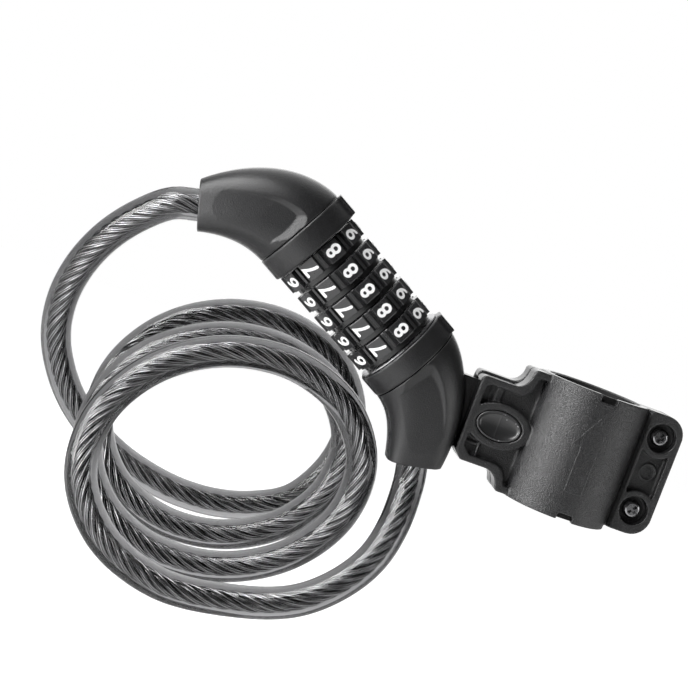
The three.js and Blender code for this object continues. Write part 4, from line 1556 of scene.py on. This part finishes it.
@dataclass
class CableRoute:
    """The centre line of the cable from inside the plug to inside the fixed elbow."""

    plug: Elbow
    fixed: Elbow
    grip: float = 9.0
    straight: float = 9.0
    turns: int = 3
    turn_points: int = 12
    first_point: int = 2
    tilt: float = math.radians(19.5)
    back: float = 54.0
    advance: float = 24.0
    middle_x: Point3 = (-125, 2.3, 2)
    middle_z: Point3 = (-46.4, -5, 1.8)
    half_width: Point3 = (49.6, 1.7, 1.4)
    half_height: Point3 = (41.7, 0.9, 0.9)
    span_steps: int = 24
    plug_lead: Sequence[Point3] = (
        (-181, 6, 27.5), (-191, 15, 15), (-198, 25, 0), (-201, 35, -16), (-199.5, 43, -31), (-194, 49, -44),
        (-186, 53, -55), (-175, 56.5, -64.5), (-162, 58.6, -71.8), (-148, 59, -76.2), (-132.5, 58.2, -78.3),
        (-116.5, 57, -77.2), (-101, 55.3, -72.4), (-87.2, 53.2, -63.4))
    lock_lead: Sequence[Point3] = ((-82, -21, -84.5), (-69, -20, -74), (-60, -16, -62), (-55.5, -9.5, -49))

    def coil(self) -> list[Vector]:
        """Points of the loose turns.

        Returns:
            the points.
        """
        right = Vector((math.cos(self.tilt), 0, math.sin(self.tilt)))
        up = Vector((-math.sin(self.tilt), 0, math.cos(self.tilt)))
        points = []
        for i in range(self.first_point, self.turns * self.turn_points + 1):
            turn = i / self.turn_points
            off, angle = turn - self.turns / 2, 2 * math.pi * turn
            y = self.back - self.advance * turn
            middle = Vector((swell(self.middle_x, off), y, swell(self.middle_z, off)))
            points.append(middle + right * swell(self.half_width, off) * math.sin(angle)
                          - up * swell(self.half_height, off) * math.cos(angle))
        return points

    def marks(self) -> list[Vector]:
        """The points that the cable passes through.

        Returns:
            the points.
        """
        depths = (self.grip, self.grip / 2, 0.0, -self.straight)
        leave, enter = ([LOCK_FRAME @ elbow.throat(d) for d in depths] for elbow in (self.plug, self.fixed))
        plug_lead, lock_lead = ([Vector(p) for p in lead] for lead in (self.plug_lead, self.lock_lead))
        return [*leave, *plug_lead, *self.coil(), *lock_lead, *reversed(enter)]

    def line(self, spacing: float) -> list[Vector]:
        """The smooth centre line.

        Args:
            spacing: distance between neighbouring points.

        Returns:
            evenly spaced points in the part's frame.
        """
        marks = self.marks()
        marks = [marks[0] * 2 - marks[1], *marks, marks[-1] * 2 - marks[-2]]
        dense: list[Vector] = []
        for p0, p1, p2, p3 in zip(marks, marks[1:], marks[2:], marks[3:]):
            d0, d1, d2 = (max((b - a).length ** 0.5, 1e-4) for a, b in ((p0, p1), (p1, p2), (p2, p3)))
            t1 = ((p1 - p0) / d0 - (p2 - p0) / (d0 + d1) + (p2 - p1) / d1) * d1
            t2 = ((p2 - p1) / d1 - (p3 - p1) / (d1 + d2) + (p3 - p2) / d2) * d1
            for t in (i / self.span_steps for i in range(self.span_steps)):
                dense.append(p1 * (2 * t**3 - 3 * t**2 + 1) + t1 * (t**3 - 2 * t**2 + t)
                             + p2 * (3 * t**2 - 2 * t**3) + t2 * (t**3 - t**2))
        dense.append(marks[-2])
        at = np.array([tuple(p) for p in dense])
        run = np.concatenate([[0.0], np.cumsum(np.linalg.norm(np.diff(at, axis=0), axis=1))])
        want = np.linspace(0, run[-1], round(run[-1] / spacing) + 1)
        return [Vector(p) for p in np.stack([np.interp(want, run, at[:, i]) for i in range(3)], 1)]


@dataclass
class Cable:
    """The clear sheath and the wire rope inside it."""

    shop: Workshop
    route: CableRoute
    diameter: float = 12.0
    sides: int = 40
    rope_radius: float = 2.65
    strands: int = 6
    strand_overlap: float = 1.04
    core_inset: float = 1.5
    lay: float = 33.0
    spacing: float = 2.0
    rope_spacing: float = 1.5

    def build(self) -> None:
        """Make both pieces of the cable, give them their finishes and hide the CAD nodes they stand for."""
        line = self.route.line(self.spacing)
        sheath = tube_recipe().make("clear_sheath", chain(line), {
            "Radius": self.diameter / 2, "Sides": self.sides, "Material": self.shop.materials[Slot.SHEATH]})
        strand = math.pi * self.rope_radius / (self.strands + math.pi)
        rope = rope_recipe().make("steel_rope", chain(self.route.line(self.rope_spacing)[1:-1]), {
            "Strands": self.strands, "Lay": self.lay, "Pitch radius": self.rope_radius - strand,
            "Strand radius": strand * self.strand_overlap,
            "Core radius": self.rope_radius - strand * self.core_inset,
            "Material": self.shop.materials[Slot.ROPE]})
        self.shop.dress(sheath, Slot.SHEATH)
        self.shop.dress(rope, Slot.ROPE)
        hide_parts("cable_sheath")
        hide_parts("wire_rope")
        mouth = LOCK_FRAME @ self.route.plug.throat(0.0) * MILLIMETRE
        for piece in (sheath, rope):
            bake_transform(piece)


# ---- bracket -------------------------------------------------------------------------


@dataclass
class CrossScrew:
    """A pan-head screw with a cross recess; its dome is given in shares of the head's radius."""

    shank: float = 1.95
    length: float = 11.4
    head: float = 3.4
    height: float = 2.5
    dome: Sequence[Point2] = ((0.66, 0.0), (0.8, 0.2), (0.94, 0.75), (1.0, 1.3))
    middle: float = 0.01
    arm: float = 2.2
    width: float = 0.62
    recess: float = 1.3
    taper: tuple[float, float] = (1.1, 0.55)
    chamfer: float = 0.12
    chamfer_from: float = 50

    def slit(self, x: float, z: float) -> Stock:
        """The cutter of one bar of the cross, by its half sizes; it narrows downwards.

        Args:
            x: half size across.
            z: half size along.

        Returns:
            the cutter.
        """
        corners = ((-1, -1), (1, -1), (1, 1), (-1, 1))
        levels = zip((-self.height - 1, -self.height + self.recess), self.taper)
        return loft([[(sx * x * k, y, sz * z * k) for sx, sz in corners] for y, k in levels])

    def solid(self) -> Stock:
        """The screw, its head's underside at zero.

        Returns:
            the solid.
        """
        profile = [(self.middle, -self.height), *((self.head * r, -self.height + y) for r, y in self.dome),
                   (self.head, 0), (self.shank, 0), (self.shank, self.length), (self.middle, self.length)]
        cross = (self.slit(self.arm, self.width), self.slit(self.width, self.arm))
        return turned(profile, Axis.Y, 64).cut(*cross).bevel(self.chamfer, 2, self.chamfer_from)


@dataclass
class Bracket:
    """The tube clamp: two shells, liners, screws and the release button.

    Rooms and the spring bed are given by both ends across, both ends in depth and half a height
    about the lug's middle; pocket ribs by both ends across, their height above the pocket's floor
    and both ends along the tube. The button's neck is given by half its width, half its height,
    half its flange's height and the depth of its back.
    """

    shop: Workshop
    bore: float = 17.8
    barrel: float = 21.1
    liner_bore: float = 15.9
    liner_outer: float = 17.5
    liner_short: float = 0.3
    liner_chamfer: float = 0.3
    top: float = 24.3
    split: float = 0.3
    flange_root: float = 20.8
    flange_reach: float = 36.1
    flange_face: float = 8.0
    flange_corner: float = 7.5
    flange_inset: float = 1.6
    flange_chamfer: float = 1.2
    panel_inset: tuple[float, float] = (1.8, 2.6)
    panel_heights: tuple[float, float] = (-10.6, 12.4)
    panel_depth: float = 3.0
    mark_radii: tuple[float, float] = (2.95, 3.25)
    mark_place: tuple[float, float] = (0.6, 1.6)
    mark_half: float = 0.4
    screw: CrossScrew = field(default_factory=CrossScrew)
    screw_x: float = 28.4
    screw_heights: tuple[float, float] = (15.4, -13.6)
    screw_turns: tuple[float, float] = (18, 40)
    screw_play: float = 0.3
    screw_sink: float = 0.3
    counterbore: float = 5.5
    counterbore_depth: float = 4.4
    counterbore_wall: float = 2.2
    nut_radius: float = 4.39
    nut_floor: float = 4.7
    lug_reach: float = 43.8
    lug_face: float = 9.0
    lug_z: float = -0.7
    lug_half: float = 16.4
    lug_chamfer: float = 0.6
    shoulder: float = 4.8
    end_drop: float = 0.4
    rear_rise: float = 0.8
    wall: float = 2.7
    pocket: float = 3.9
    pocket_ribs: Sequence[tuple[float, float, float, float, float]] = (
        (-36.2, -33.6, 0.8, 4.0, 15.0), (-38.4, -37.4, 0.45, 6.0, 14.0),
        (-36.0, -35.0, 1.6, -15.0, -6.0), (-41.9, -35.4, 0.5, -10.6, -9.4))
    spur_half: float = 4.8
    spur_tip: tuple[float, float] = (2.5, 0.6)
    tongue_room: tuple[float, float, float, float, float] = (-50, -21.6, -2.6, 6.2, 13.9)
    spring_bed: tuple[float, float, float, float, float] = (-39.0, -25.7, 5.8, 7.4, 4.6)
    notch: tuple[float, float] = (-2.2, 3.8)
    notch_depth: float = 2.6
    arrow_line: Sequence[Point2] = (
        (-3.0, -13.4), (-3.0, 3.8), (-6.2, 3.8), (0.3, 15.6),
        (6.6, 3.8), (3.4, 3.8), (3.4, -13.4), (-3.0, -13.4))
    arrow_half: float = 0.16
    arrow_proud: float = 0.13
    button_x: float = -31.4
    button_half: tuple[float, float] = (8.7, 5.5)
    button_play: float = 0.3
    button_ring: float = 3.5
    button_ring_narrowing: float = 0.8
    button_room: tuple[float, float, float, float, float] = (-36.4, -25.8, -4.4, -2.0, 7.8)
    button_cap: float = 4.0
    button_chamfer: float = 0.3
    button_dish: float = 1.7
    dish_rim: float = 0.7
    seam_rim: float = 0.6
    seam_half: float = 0.16
    seam_proud: float = 0.14
    seam_depth: float = 0.8
    neck: tuple[float, float, float, float] = (4.6, 3.9, 7.4, -2.5)
    neck_root: float = 3.5
    neck_flange: float = -3.7
    grain: float = 0.36
    rear_grain: float = 0.6
    button_grain: float = 0.2

    def lug_outline(self, inset: float = 0.0, rise: float = 0.0) -> list[Point2]:
        """The lug seen from the front, drawn in by an inset, its top raised.

        Args:
            inset: how far it is drawn in.
            rise: how far the top is raised.

        Returns:
            the outline.
        """
        left, right = -self.lug_reach + inset, -self.bore
        top, bottom = self.lug_z + self.lug_half - inset + rise, self.lug_z - self.lug_half + inset
        wall, high = -self.barrel - self.shoulder + inset, self.top - self.end_drop - inset
        corner = [(wall + 2, high), (wall + 0.8, high), (wall, high - 0.6), (wall, high - 1.6)]
        shoulder = [(wall, high - 1.6), (wall - 0.1, high - 5), (wall - 2, top), (wall - 5.4, top)]
        toe = [(left + 2.4, top), (left + 0.8, top), (left, top - 0.9), (left, top - 2.6)]
        heel = [(wall - 5, bottom), (wall - 1.2, bottom), (wall + 0.6, bottom - 3), (wall + 1, -high + 1)]
        return [(right, high), *bezier(corner, 6), *bezier(shoulder)[1:], *bezier(toe, 8),
                (left, bottom + 3), (left + 3, bottom), *bezier(heel), (wall + 2, -high), (right, -high)]

    def flange_outline(self) -> list[Point2]:
        """The screw flange seen from the front.

        Returns:
            the outline.
        """
        r, low, high = self.flange_corner, self.flange_inset - self.top, self.top
        x = self.flange_reach - r
        return [(self.flange_root, low), *arc(x, low + r, r, r, -90, 0), *arc(x, high - r, r, r, 0, 90),
                (self.flange_root, high)]

    def about_lug(self, x0: float, x1: float, y0: float, y1: float, half: float) -> Stock:
        """A block as high above the lug's middle as below it."""
        return block(x0, x1, y0, y1, self.lug_z - half, self.lug_z + half)

    def screw_bars(self, radius: float, low: float, high: float) -> list[Stock]:
        """Round bars along both screws."""
        return [bar(Axis.Y, radius, low, high, self.screw_x, z) for z in self.screw_heights]

    def button_plate(self, grow: float, low: float, high: float, narrow: float = 0.0,
                     sides: int = 72) -> Stock:
        """The button's oval, grown all round, given thickness."""
        rx, ry = self.button_half
        return plate(oval(self.button_x, self.lug_z, rx + grow, ry + grow - narrow, sides), Axis.Y, low, high)

    def blank(self, side: int) -> Stock:
        """Barrel, lug and flange of one shell before its details; side -1 is the front.

        Args:
            side: -1 for the front, 1 for the rear.

        Returns:
            the solid.
        """
        lug = self.lug_outline(rise=max(side, 0) * self.rear_rise)
        body = bar(Axis.Z, self.barrel, -self.top, self.top, sides=FINE_SIDES).join(
            plate(lug, Axis.Y, *on_side(side, 0.0, self.lug_face)),
            plate(self.flange_outline(), Axis.Y, *on_side(side, 0.0, self.flange_face)))
        return body.common(block(-60, 60, *on_side(side, self.split, 30.0), -40, 40)).cut(
            bar(Axis.Z, self.bore, -30, 30, sides=FINE_SIDES), self.about_lug(*self.tongue_room),
            *self.screw_bars(self.screw.shank + self.screw_play, -20, 20))

    def pocket_cutter(self) -> Stock:
        """What is cut from the lug's face: pockets round the button ring and its ribs.

        Returns:
            the cutter.
        """
        face, floor = -self.lug_face, -self.lug_face + self.pocket
        root, (tip, lift) = self.button_x + self.button_half[0], self.spur_tip
        spur = [(root, self.lug_z + self.spur_half), (-self.barrel + tip, self.lug_z + lift),
                (root, self.lug_z - self.spur_half)]
        ribs = [block(x0, x1, floor - rise, 0, z0, z1) for x0, x1, rise, z0, z1 in self.pocket_ribs]
        ring = self.button_plate(self.button_play + self.button_ring, face - 2, 0, self.button_ring_narrowing)
        tube = bar(Axis.Z, self.barrel, -30, 30, sides=FINE_SIDES)
        return plate(self.lug_outline(self.wall), Axis.Y, face - 1, floor).cut(
            ring, plate(spur, Axis.Y, face - 2, 0), tube, *ribs)

    def arrow(self) -> Stock:
        """The thin raised outline arrow on the barrel, pointing up the tube.

        Returns:
            the arrow.
        """
        walls = []
        for (x0, z0), (x1, z1) in zip(self.arrow_line, self.arrow_line[1:]):
            along = Vector((x1 - x0, z1 - z0)).normalized() * self.arrow_half
            side = Vector((-along.y, along.x))
            corners = [(x - u * along.x + v * side.x, z - u * along.y + v * side.y)
                       for x, z, u, v in ((x0, z0, 1, 1), (x0, z0, 1, -1), (x1, z1, -1, -1), (x1, z1, -1, 1))]
            walls.append(plate(corners, Axis.Y, -25, -16))
        proud = bar(Axis.Z, self.barrel + self.arrow_proud, -20, 20, sides=FINE_SIDES)
        return walls[0].join(*walls[1:]).common(proud)

    def panel(self) -> list[Stock]:
        """The cutter of the sunk panel between the screws, and the ring mark that stands on its floor.

        Returns:
            the cutter and the mark.
        """
        flange, floor = -self.flange_face, -self.flange_face + self.panel_depth
        (left, right), (x, z) = self.panel_inset, self.mark_place
        waist = block(self.barrel + left, self.flange_reach - right, flange - 1, floor, *self.panel_heights)
        waist.cut(*self.screw_bars(self.counterbore + self.counterbore_wall, -20, 0))
        (inner, outer), low, high = self.mark_radii, floor - self.mark_half, floor + self.mark_half
        mark = turned([(inner, low), (outer, low), (outer, high), (inner, high)], Axis.Y)
        return [waist, mark.moved(Matrix.Translation((self.screw_x + x, 0, z)))]

    def front(self) -> Stock:
        """The front shell with pockets, counterbores, notches and arrow.

        Returns:
            the solid.
        """
        face, flange = -self.lug_face, -self.flange_face
        panel, mark = self.panel()
        edges = [plate([(x - 1, y - 1), (x + 1 + w, y - 1), (x - 1, y + 1 + w)], Axis.Z, -30, 30)
                 for x, y, w in ((self.flange_root, flange, self.flange_chamfer),
                                 (-self.lug_reach, face, self.lug_chamfer))]
        notches = [block(*self.notch, -self.barrel - 1, -self.bore + 1,
                         *on_side(end, self.top - self.notch_depth, 30)) for end in (-1, 1)]
        bores = self.screw_bars(self.counterbore, flange - 1, flange + self.counterbore_depth)
        hole = self.button_plate(self.button_play, face - 1, self.button_room[3])
        whole = self.blank(-1).cut(self.pocket_cutter(), panel, *edges, *notches, *bores, hole,
                                   self.about_lug(*self.button_room))
        return whole.join(mark).cast(self.grain).join(self.arrow())

    def rear(self) -> Stock:
        """The rear shell with its nut pockets and spring bed.

        Returns:
            the solid.
        """
        nuts = [plate(oval(self.screw_x, z, self.nut_radius, self.nut_radius, 6), Axis.Y, self.nut_floor, 9)
                for z in self.screw_heights]
        return self.blank(1).cut(*nuts, self.about_lug(*self.spring_bed)).cast(self.rear_grain)

    def liner(self, side: int) -> Stock:
        """One half of the rubber liner.

        Args:
            side: -1 for the front, 1 for the rear.

        Returns:
            the solid.
        """
        i, o, h = self.liner_bore, self.liner_outer, self.top - self.liner_short
        ring = turned([(i, -h), (o, -h), (o, h), (i, h)], Axis.Z, FINE_SIDES)
        half = block(-30, 30, *on_side(side, self.split, 30.0), -40, 40)
        return ring.common(half).bevel(self.liner_chamfer)

    def dish(self) -> Stock:
        """The cutter of the button's dish.

        Returns:
            the cutter.
        """
        x, z, face = self.button_x, self.lug_z, -self.lug_face
        rx, ry = (half - self.dish_rim for half in self.button_half)
        around = [2 * math.pi * j / 60 for j in range(60)]
        rings = []
        for a in (math.pi * (i + 0.5) / 15 for i in range(15)):
            wide, deep, h = rx * math.sin(a), self.button_dish * math.sin(a), z + ry * math.cos(a)
            rings.append([(x + wide * math.cos(b), face + deep * math.sin(b), h) for b in around])
        return loft(rings)

    def button(self) -> Stock:
        """The oval button: cap, dish with its raised seam, neck and flange.

        Returns:
            the solid.
        """
        x, z, face = self.button_x, self.lug_z, -self.lug_face
        reach = self.button_half[1] - self.seam_rim
        seam = [(face + self.button_dish * math.sin(a) - self.seam_proud, z + reach * math.cos(a))
                for a in (math.radians(180 * i / 20) for i in range(21))]
        seam += [(y + self.seam_depth, h) for y, h in reversed(seam)]
        half, tall, flange, back = self.neck
        cap = self.button_plate(0.0, face, face + self.button_cap, sides=96).bevel(self.button_chamfer, 3)
        whole = cap.join(self.about_lug(x - half, x + half, face + self.neck_root, back, tall),
                         self.about_lug(x - half, x + half, self.neck_flange, back, flange))
        whole.cut(self.dish()).join(plate(seam, Axis.X, x - self.seam_half, x + self.seam_half))
        return whole.cast(self.button_grain, 2)

    def build(self) -> None:
        """Make and fit every piece of the bracket."""
        fit = self.shop.fit
        fit(self.front().place("clamp_front"), Slot.BRACKET, "bracket", "front_shell")
        fit(self.rear().place("clamp_rear"), Slot.BRACKET, "bracket", "rear_shell")
        for name, side in (("front", -1), ("rear", 1)):
            fit(self.liner(side).place(f"rubber_{name}"), Slot.LINER, "bracket", f"liner_{name}")
        fit(self.button().place("oval_button"), Slot.BUTTON, "button", "release_button")
        seat = -self.flange_face + self.counterbore_depth - self.screw_sink
        for name, z, turn in zip(("upper", "lower"), self.screw_heights, self.screw_turns):
            where = Matrix.Translation((self.screw_x, seat, z)) @ Matrix.Rotation(math.radians(turn), 4, "Y")
            piece = self.screw.solid().place(f"cross_screw_{name}", where)
            fit(piece, Slot.SCREW, "bracket", f"clamp_screw_{name}")


# ---- studio --------------------------------------------------------------------------


@dataclass(frozen=True)
class Lamp:
    """A square soft lamp: its place and size in metres and its power in watts."""

    name: str
    place: Point3
    size: float
    power: float


@dataclass
class Studio:
    """Camera, lamps, world and floor, in metres."""

    aim: Point3 = (-0.0940, 0.0107, 0.0068)
    azimuth: float = math.radians(-6)
    elevation: float = math.radians(5)
    roll: float = math.radians(20.3)
    distance: float = 0.5318
    lens: float = 73.4
    sensor: float = 36
    clip: tuple[float, float] = (0.01, 20)
    floor_height: float = -0.32
    floor_half: float = 3.0
    floor_paper: Colour = (0.8, 0.8, 0.8)
    floor_glow: float = 0.95
    floor_mirrored: float = 0.30
    fill: float = 0.055
    backdrop_mirrored: float = 0.6
    backdrop_edges: tuple[float, float] = (0.50, 1.00)
    through_ahead: tuple[float, float] = (0.45, 0.95)
    through_aside: tuple[float, float] = (0.05, 0.50)
    through_least: float = 0.03
    lamps: Sequence[Lamp] = (
        Lamp("left", (-1.08, -0.44, -0.06), 0.65, 17.0),
        Lamp("high", (-0.84, -0.36, 0.70), 0.70, 16.0),
        Lamp("top", (-0.20, 0.62, 0.95), 1.1, 3.5),
        Lamp("right", (0.98, -0.36, 0.02), 0.6, 3.4),
        Lamp("back", (0.05, 1.40, 0.20), 0.9, 2.0),
    )

    def camera(self) -> None:
        """Place the camera, turned about its own axis by the roll."""
        a, e = self.azimuth, self.elevation
        back = Vector((math.sin(a) * math.cos(e), -math.cos(a) * math.cos(e), math.sin(e)))
        level = Vector((math.cos(a), math.sin(a), 0))
        upright = back.cross(level)
        right = level * math.cos(self.roll) + upright * math.sin(self.roll)
        up = upright * math.cos(self.roll) - level * math.sin(self.roll)
        data = bpy.data.cameras.new("camera")
        data.lens, data.sensor_width = self.lens, self.sensor
        data.clip_start, data.clip_end = self.clip
        turn = Matrix((right, up, back)).transposed().to_4x4()
        camera = put("camera", data)
        camera.matrix_world = Matrix.Translation(Vector(self.aim) + back * self.distance) @ turn
        bpy.context.scene.camera = camera

    def light(self, lamp: Lamp) -> None:
        """Hang a lamp so that it faces the object.

        Args:
            lamp: the lamp.
        """
        data = bpy.data.lights.new(lamp.name, "AREA")
        data.size, data.energy = lamp.size, lamp.power
        item = put(lamp.name, data)
        item.location = lamp.place
        item.rotation_mode = "QUATERNION"
        item.rotation_quaternion = (Vector(self.aim) - Vector(lamp.place)).to_track_quat("-Z", "Y")

    def world(self) -> None:
        """A dim fill light and a white backdrop that the eye, mirrors and the clear vinyl see.

        Mirrors see it only behind the object. The vinyl sees it ahead of the camera and fades
        it towards both sides of the view, which darkens the sheath's margins.
        """
        world = bpy.data.worlds.new("studio")
        bpy.context.scene.world = world
        world.use_nodes = True
        tree = world.node_tree
        plain = wire(tree, tree.nodes["Background"], Color=WHITE, Strength=self.fill)
        white = shader(tree, "Background", Color=WHITE, Strength=1.0)
        path, place = shader(tree, "LightPath"), shader(tree, "TexCoord")["Generated"]
        turned_axes, split, view = (tree.nodes.new(f"ShaderNode{kind}") for kind in (
            "VectorTransform", "SeparateXYZ", "SeparateXYZ"))
        turned_axes.vector_type = "VECTOR"
        turned_axes.convert_from, turned_axes.convert_to = "WORLD", "CAMERA"
        link_all(tree, (place, split.inputs[0]), (place, turned_axes.inputs[0]),
                 (turned_axes.outputs[0], view.inputs[0]))
        behind = ramp(tree, split.outputs["Y"], *self.backdrop_edges, smooth=True)
        aside = ramp(tree, math_node(tree, "ABSOLUTE", view.outputs["X"]), *self.through_aside,
                     1.0, self.through_least, smooth=True)
        ahead = ramp(tree, view.outputs["Z"], *self.through_ahead, smooth=True)
        through = math_node(tree, "MULTIPLY", path["Is Transmission Ray"],
                            math_node(tree, "MULTIPLY", aside, ahead))
        mirrored = math_node(tree, "MULTIPLY", path["Is Glossy Ray"], self.backdrop_mirrored)
        seen = math_node(tree, "MAXIMUM", math_node(tree, "MULTIPLY", mirrored, behind), through)
        seen = math_node(tree, "MAXIMUM", path["Is Camera Ray"], seen)
        wire(tree, tree.nodes["World Output"], Surface=mixed(tree, seen, plain, white))

    def floor(self) -> None:
        """A pale floor that keeps the object's shadow."""
        half, z = self.floor_half, self.floor_height
        mesh = bpy.data.meshes.new("floor")
        corners = [(-half, -half, z), (half, -half, z), (half, half, z), (-half, half, z)]
        mesh.from_pydata(corners, [], [(0, 1, 2, 3)])
        floor = put("floor", mesh)
        material = bpy.data.materials.new("floor_paper")
        material.use_nodes = True
        tree = material.node_tree
        tree.nodes.clear()
        path = shader(tree, "LightPath")
        mirrored = math_node(tree, "MAXIMUM", path["Is Glossy Ray"], path["Is Transmission Ray"])
        seen = math_node(tree, "MAXIMUM", math_node(tree, "MULTIPLY", path["Is Camera Ray"], self.floor_glow),
                         math_node(tree, "MULTIPLY", mirrored, self.floor_mirrored))
        paper = shader(tree, "BsdfDiffuse", Color=(*self.floor_paper, 1))[0]
        glow = shader(tree, "Emission", Strength=seen)[0]
        both = tree.nodes.new("ShaderNodeAddShader")
        link_all(tree, (paper, both.inputs[0]), (glow, both.inputs[1]))
        wire(tree, tree.nodes.new("ShaderNodeOutputMaterial"), Surface=both.outputs[0])
        mesh.materials.append(material)

    def build(self) -> None:
        """Set up the whole studio."""
        self.camera()
        self.world()
        self.floor()
        for lamp in self.lamps:
            self.light(lamp)
        bpy.context.scene.view_settings.view_transform = "Standard"


KEPT_NODES = {
    **{f"clutch_ring_{i}": Slot.STEEL for i in range(1, 6)},
    **{name: Slot.STEEL for name in (
        "latch_spring", "lock_core", "locking_bolt", "detent_spring", "stack_washer", "core_clip",
        "reset_sleeve", "core_pin", "bolt_pin", "ferrule_lower", "ferrule_upper", "ferrule_pin_lower",
        "ferrule_pin_upper")},
    "clamp_nut_upper": Slot.SCREW,
    "clamp_nut_lower": Slot.SCREW,
}


def main() -> None:
    """Build the studio, the cable, the lock and the bracket, in that order."""
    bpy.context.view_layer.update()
    Studio().build()
    shop = Workshop()
    body = LockBody(shop)
    Cable(shop, CableRoute(body.plug, body.fixed)).build()
    body.build()
    DialStack(shop).build()
    Bracket(shop).build()
    shop.carry_over(KEPT_NODES)
    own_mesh(frame["nodes"]["latch_spring"])


if __name__ == "__main__":
    main()
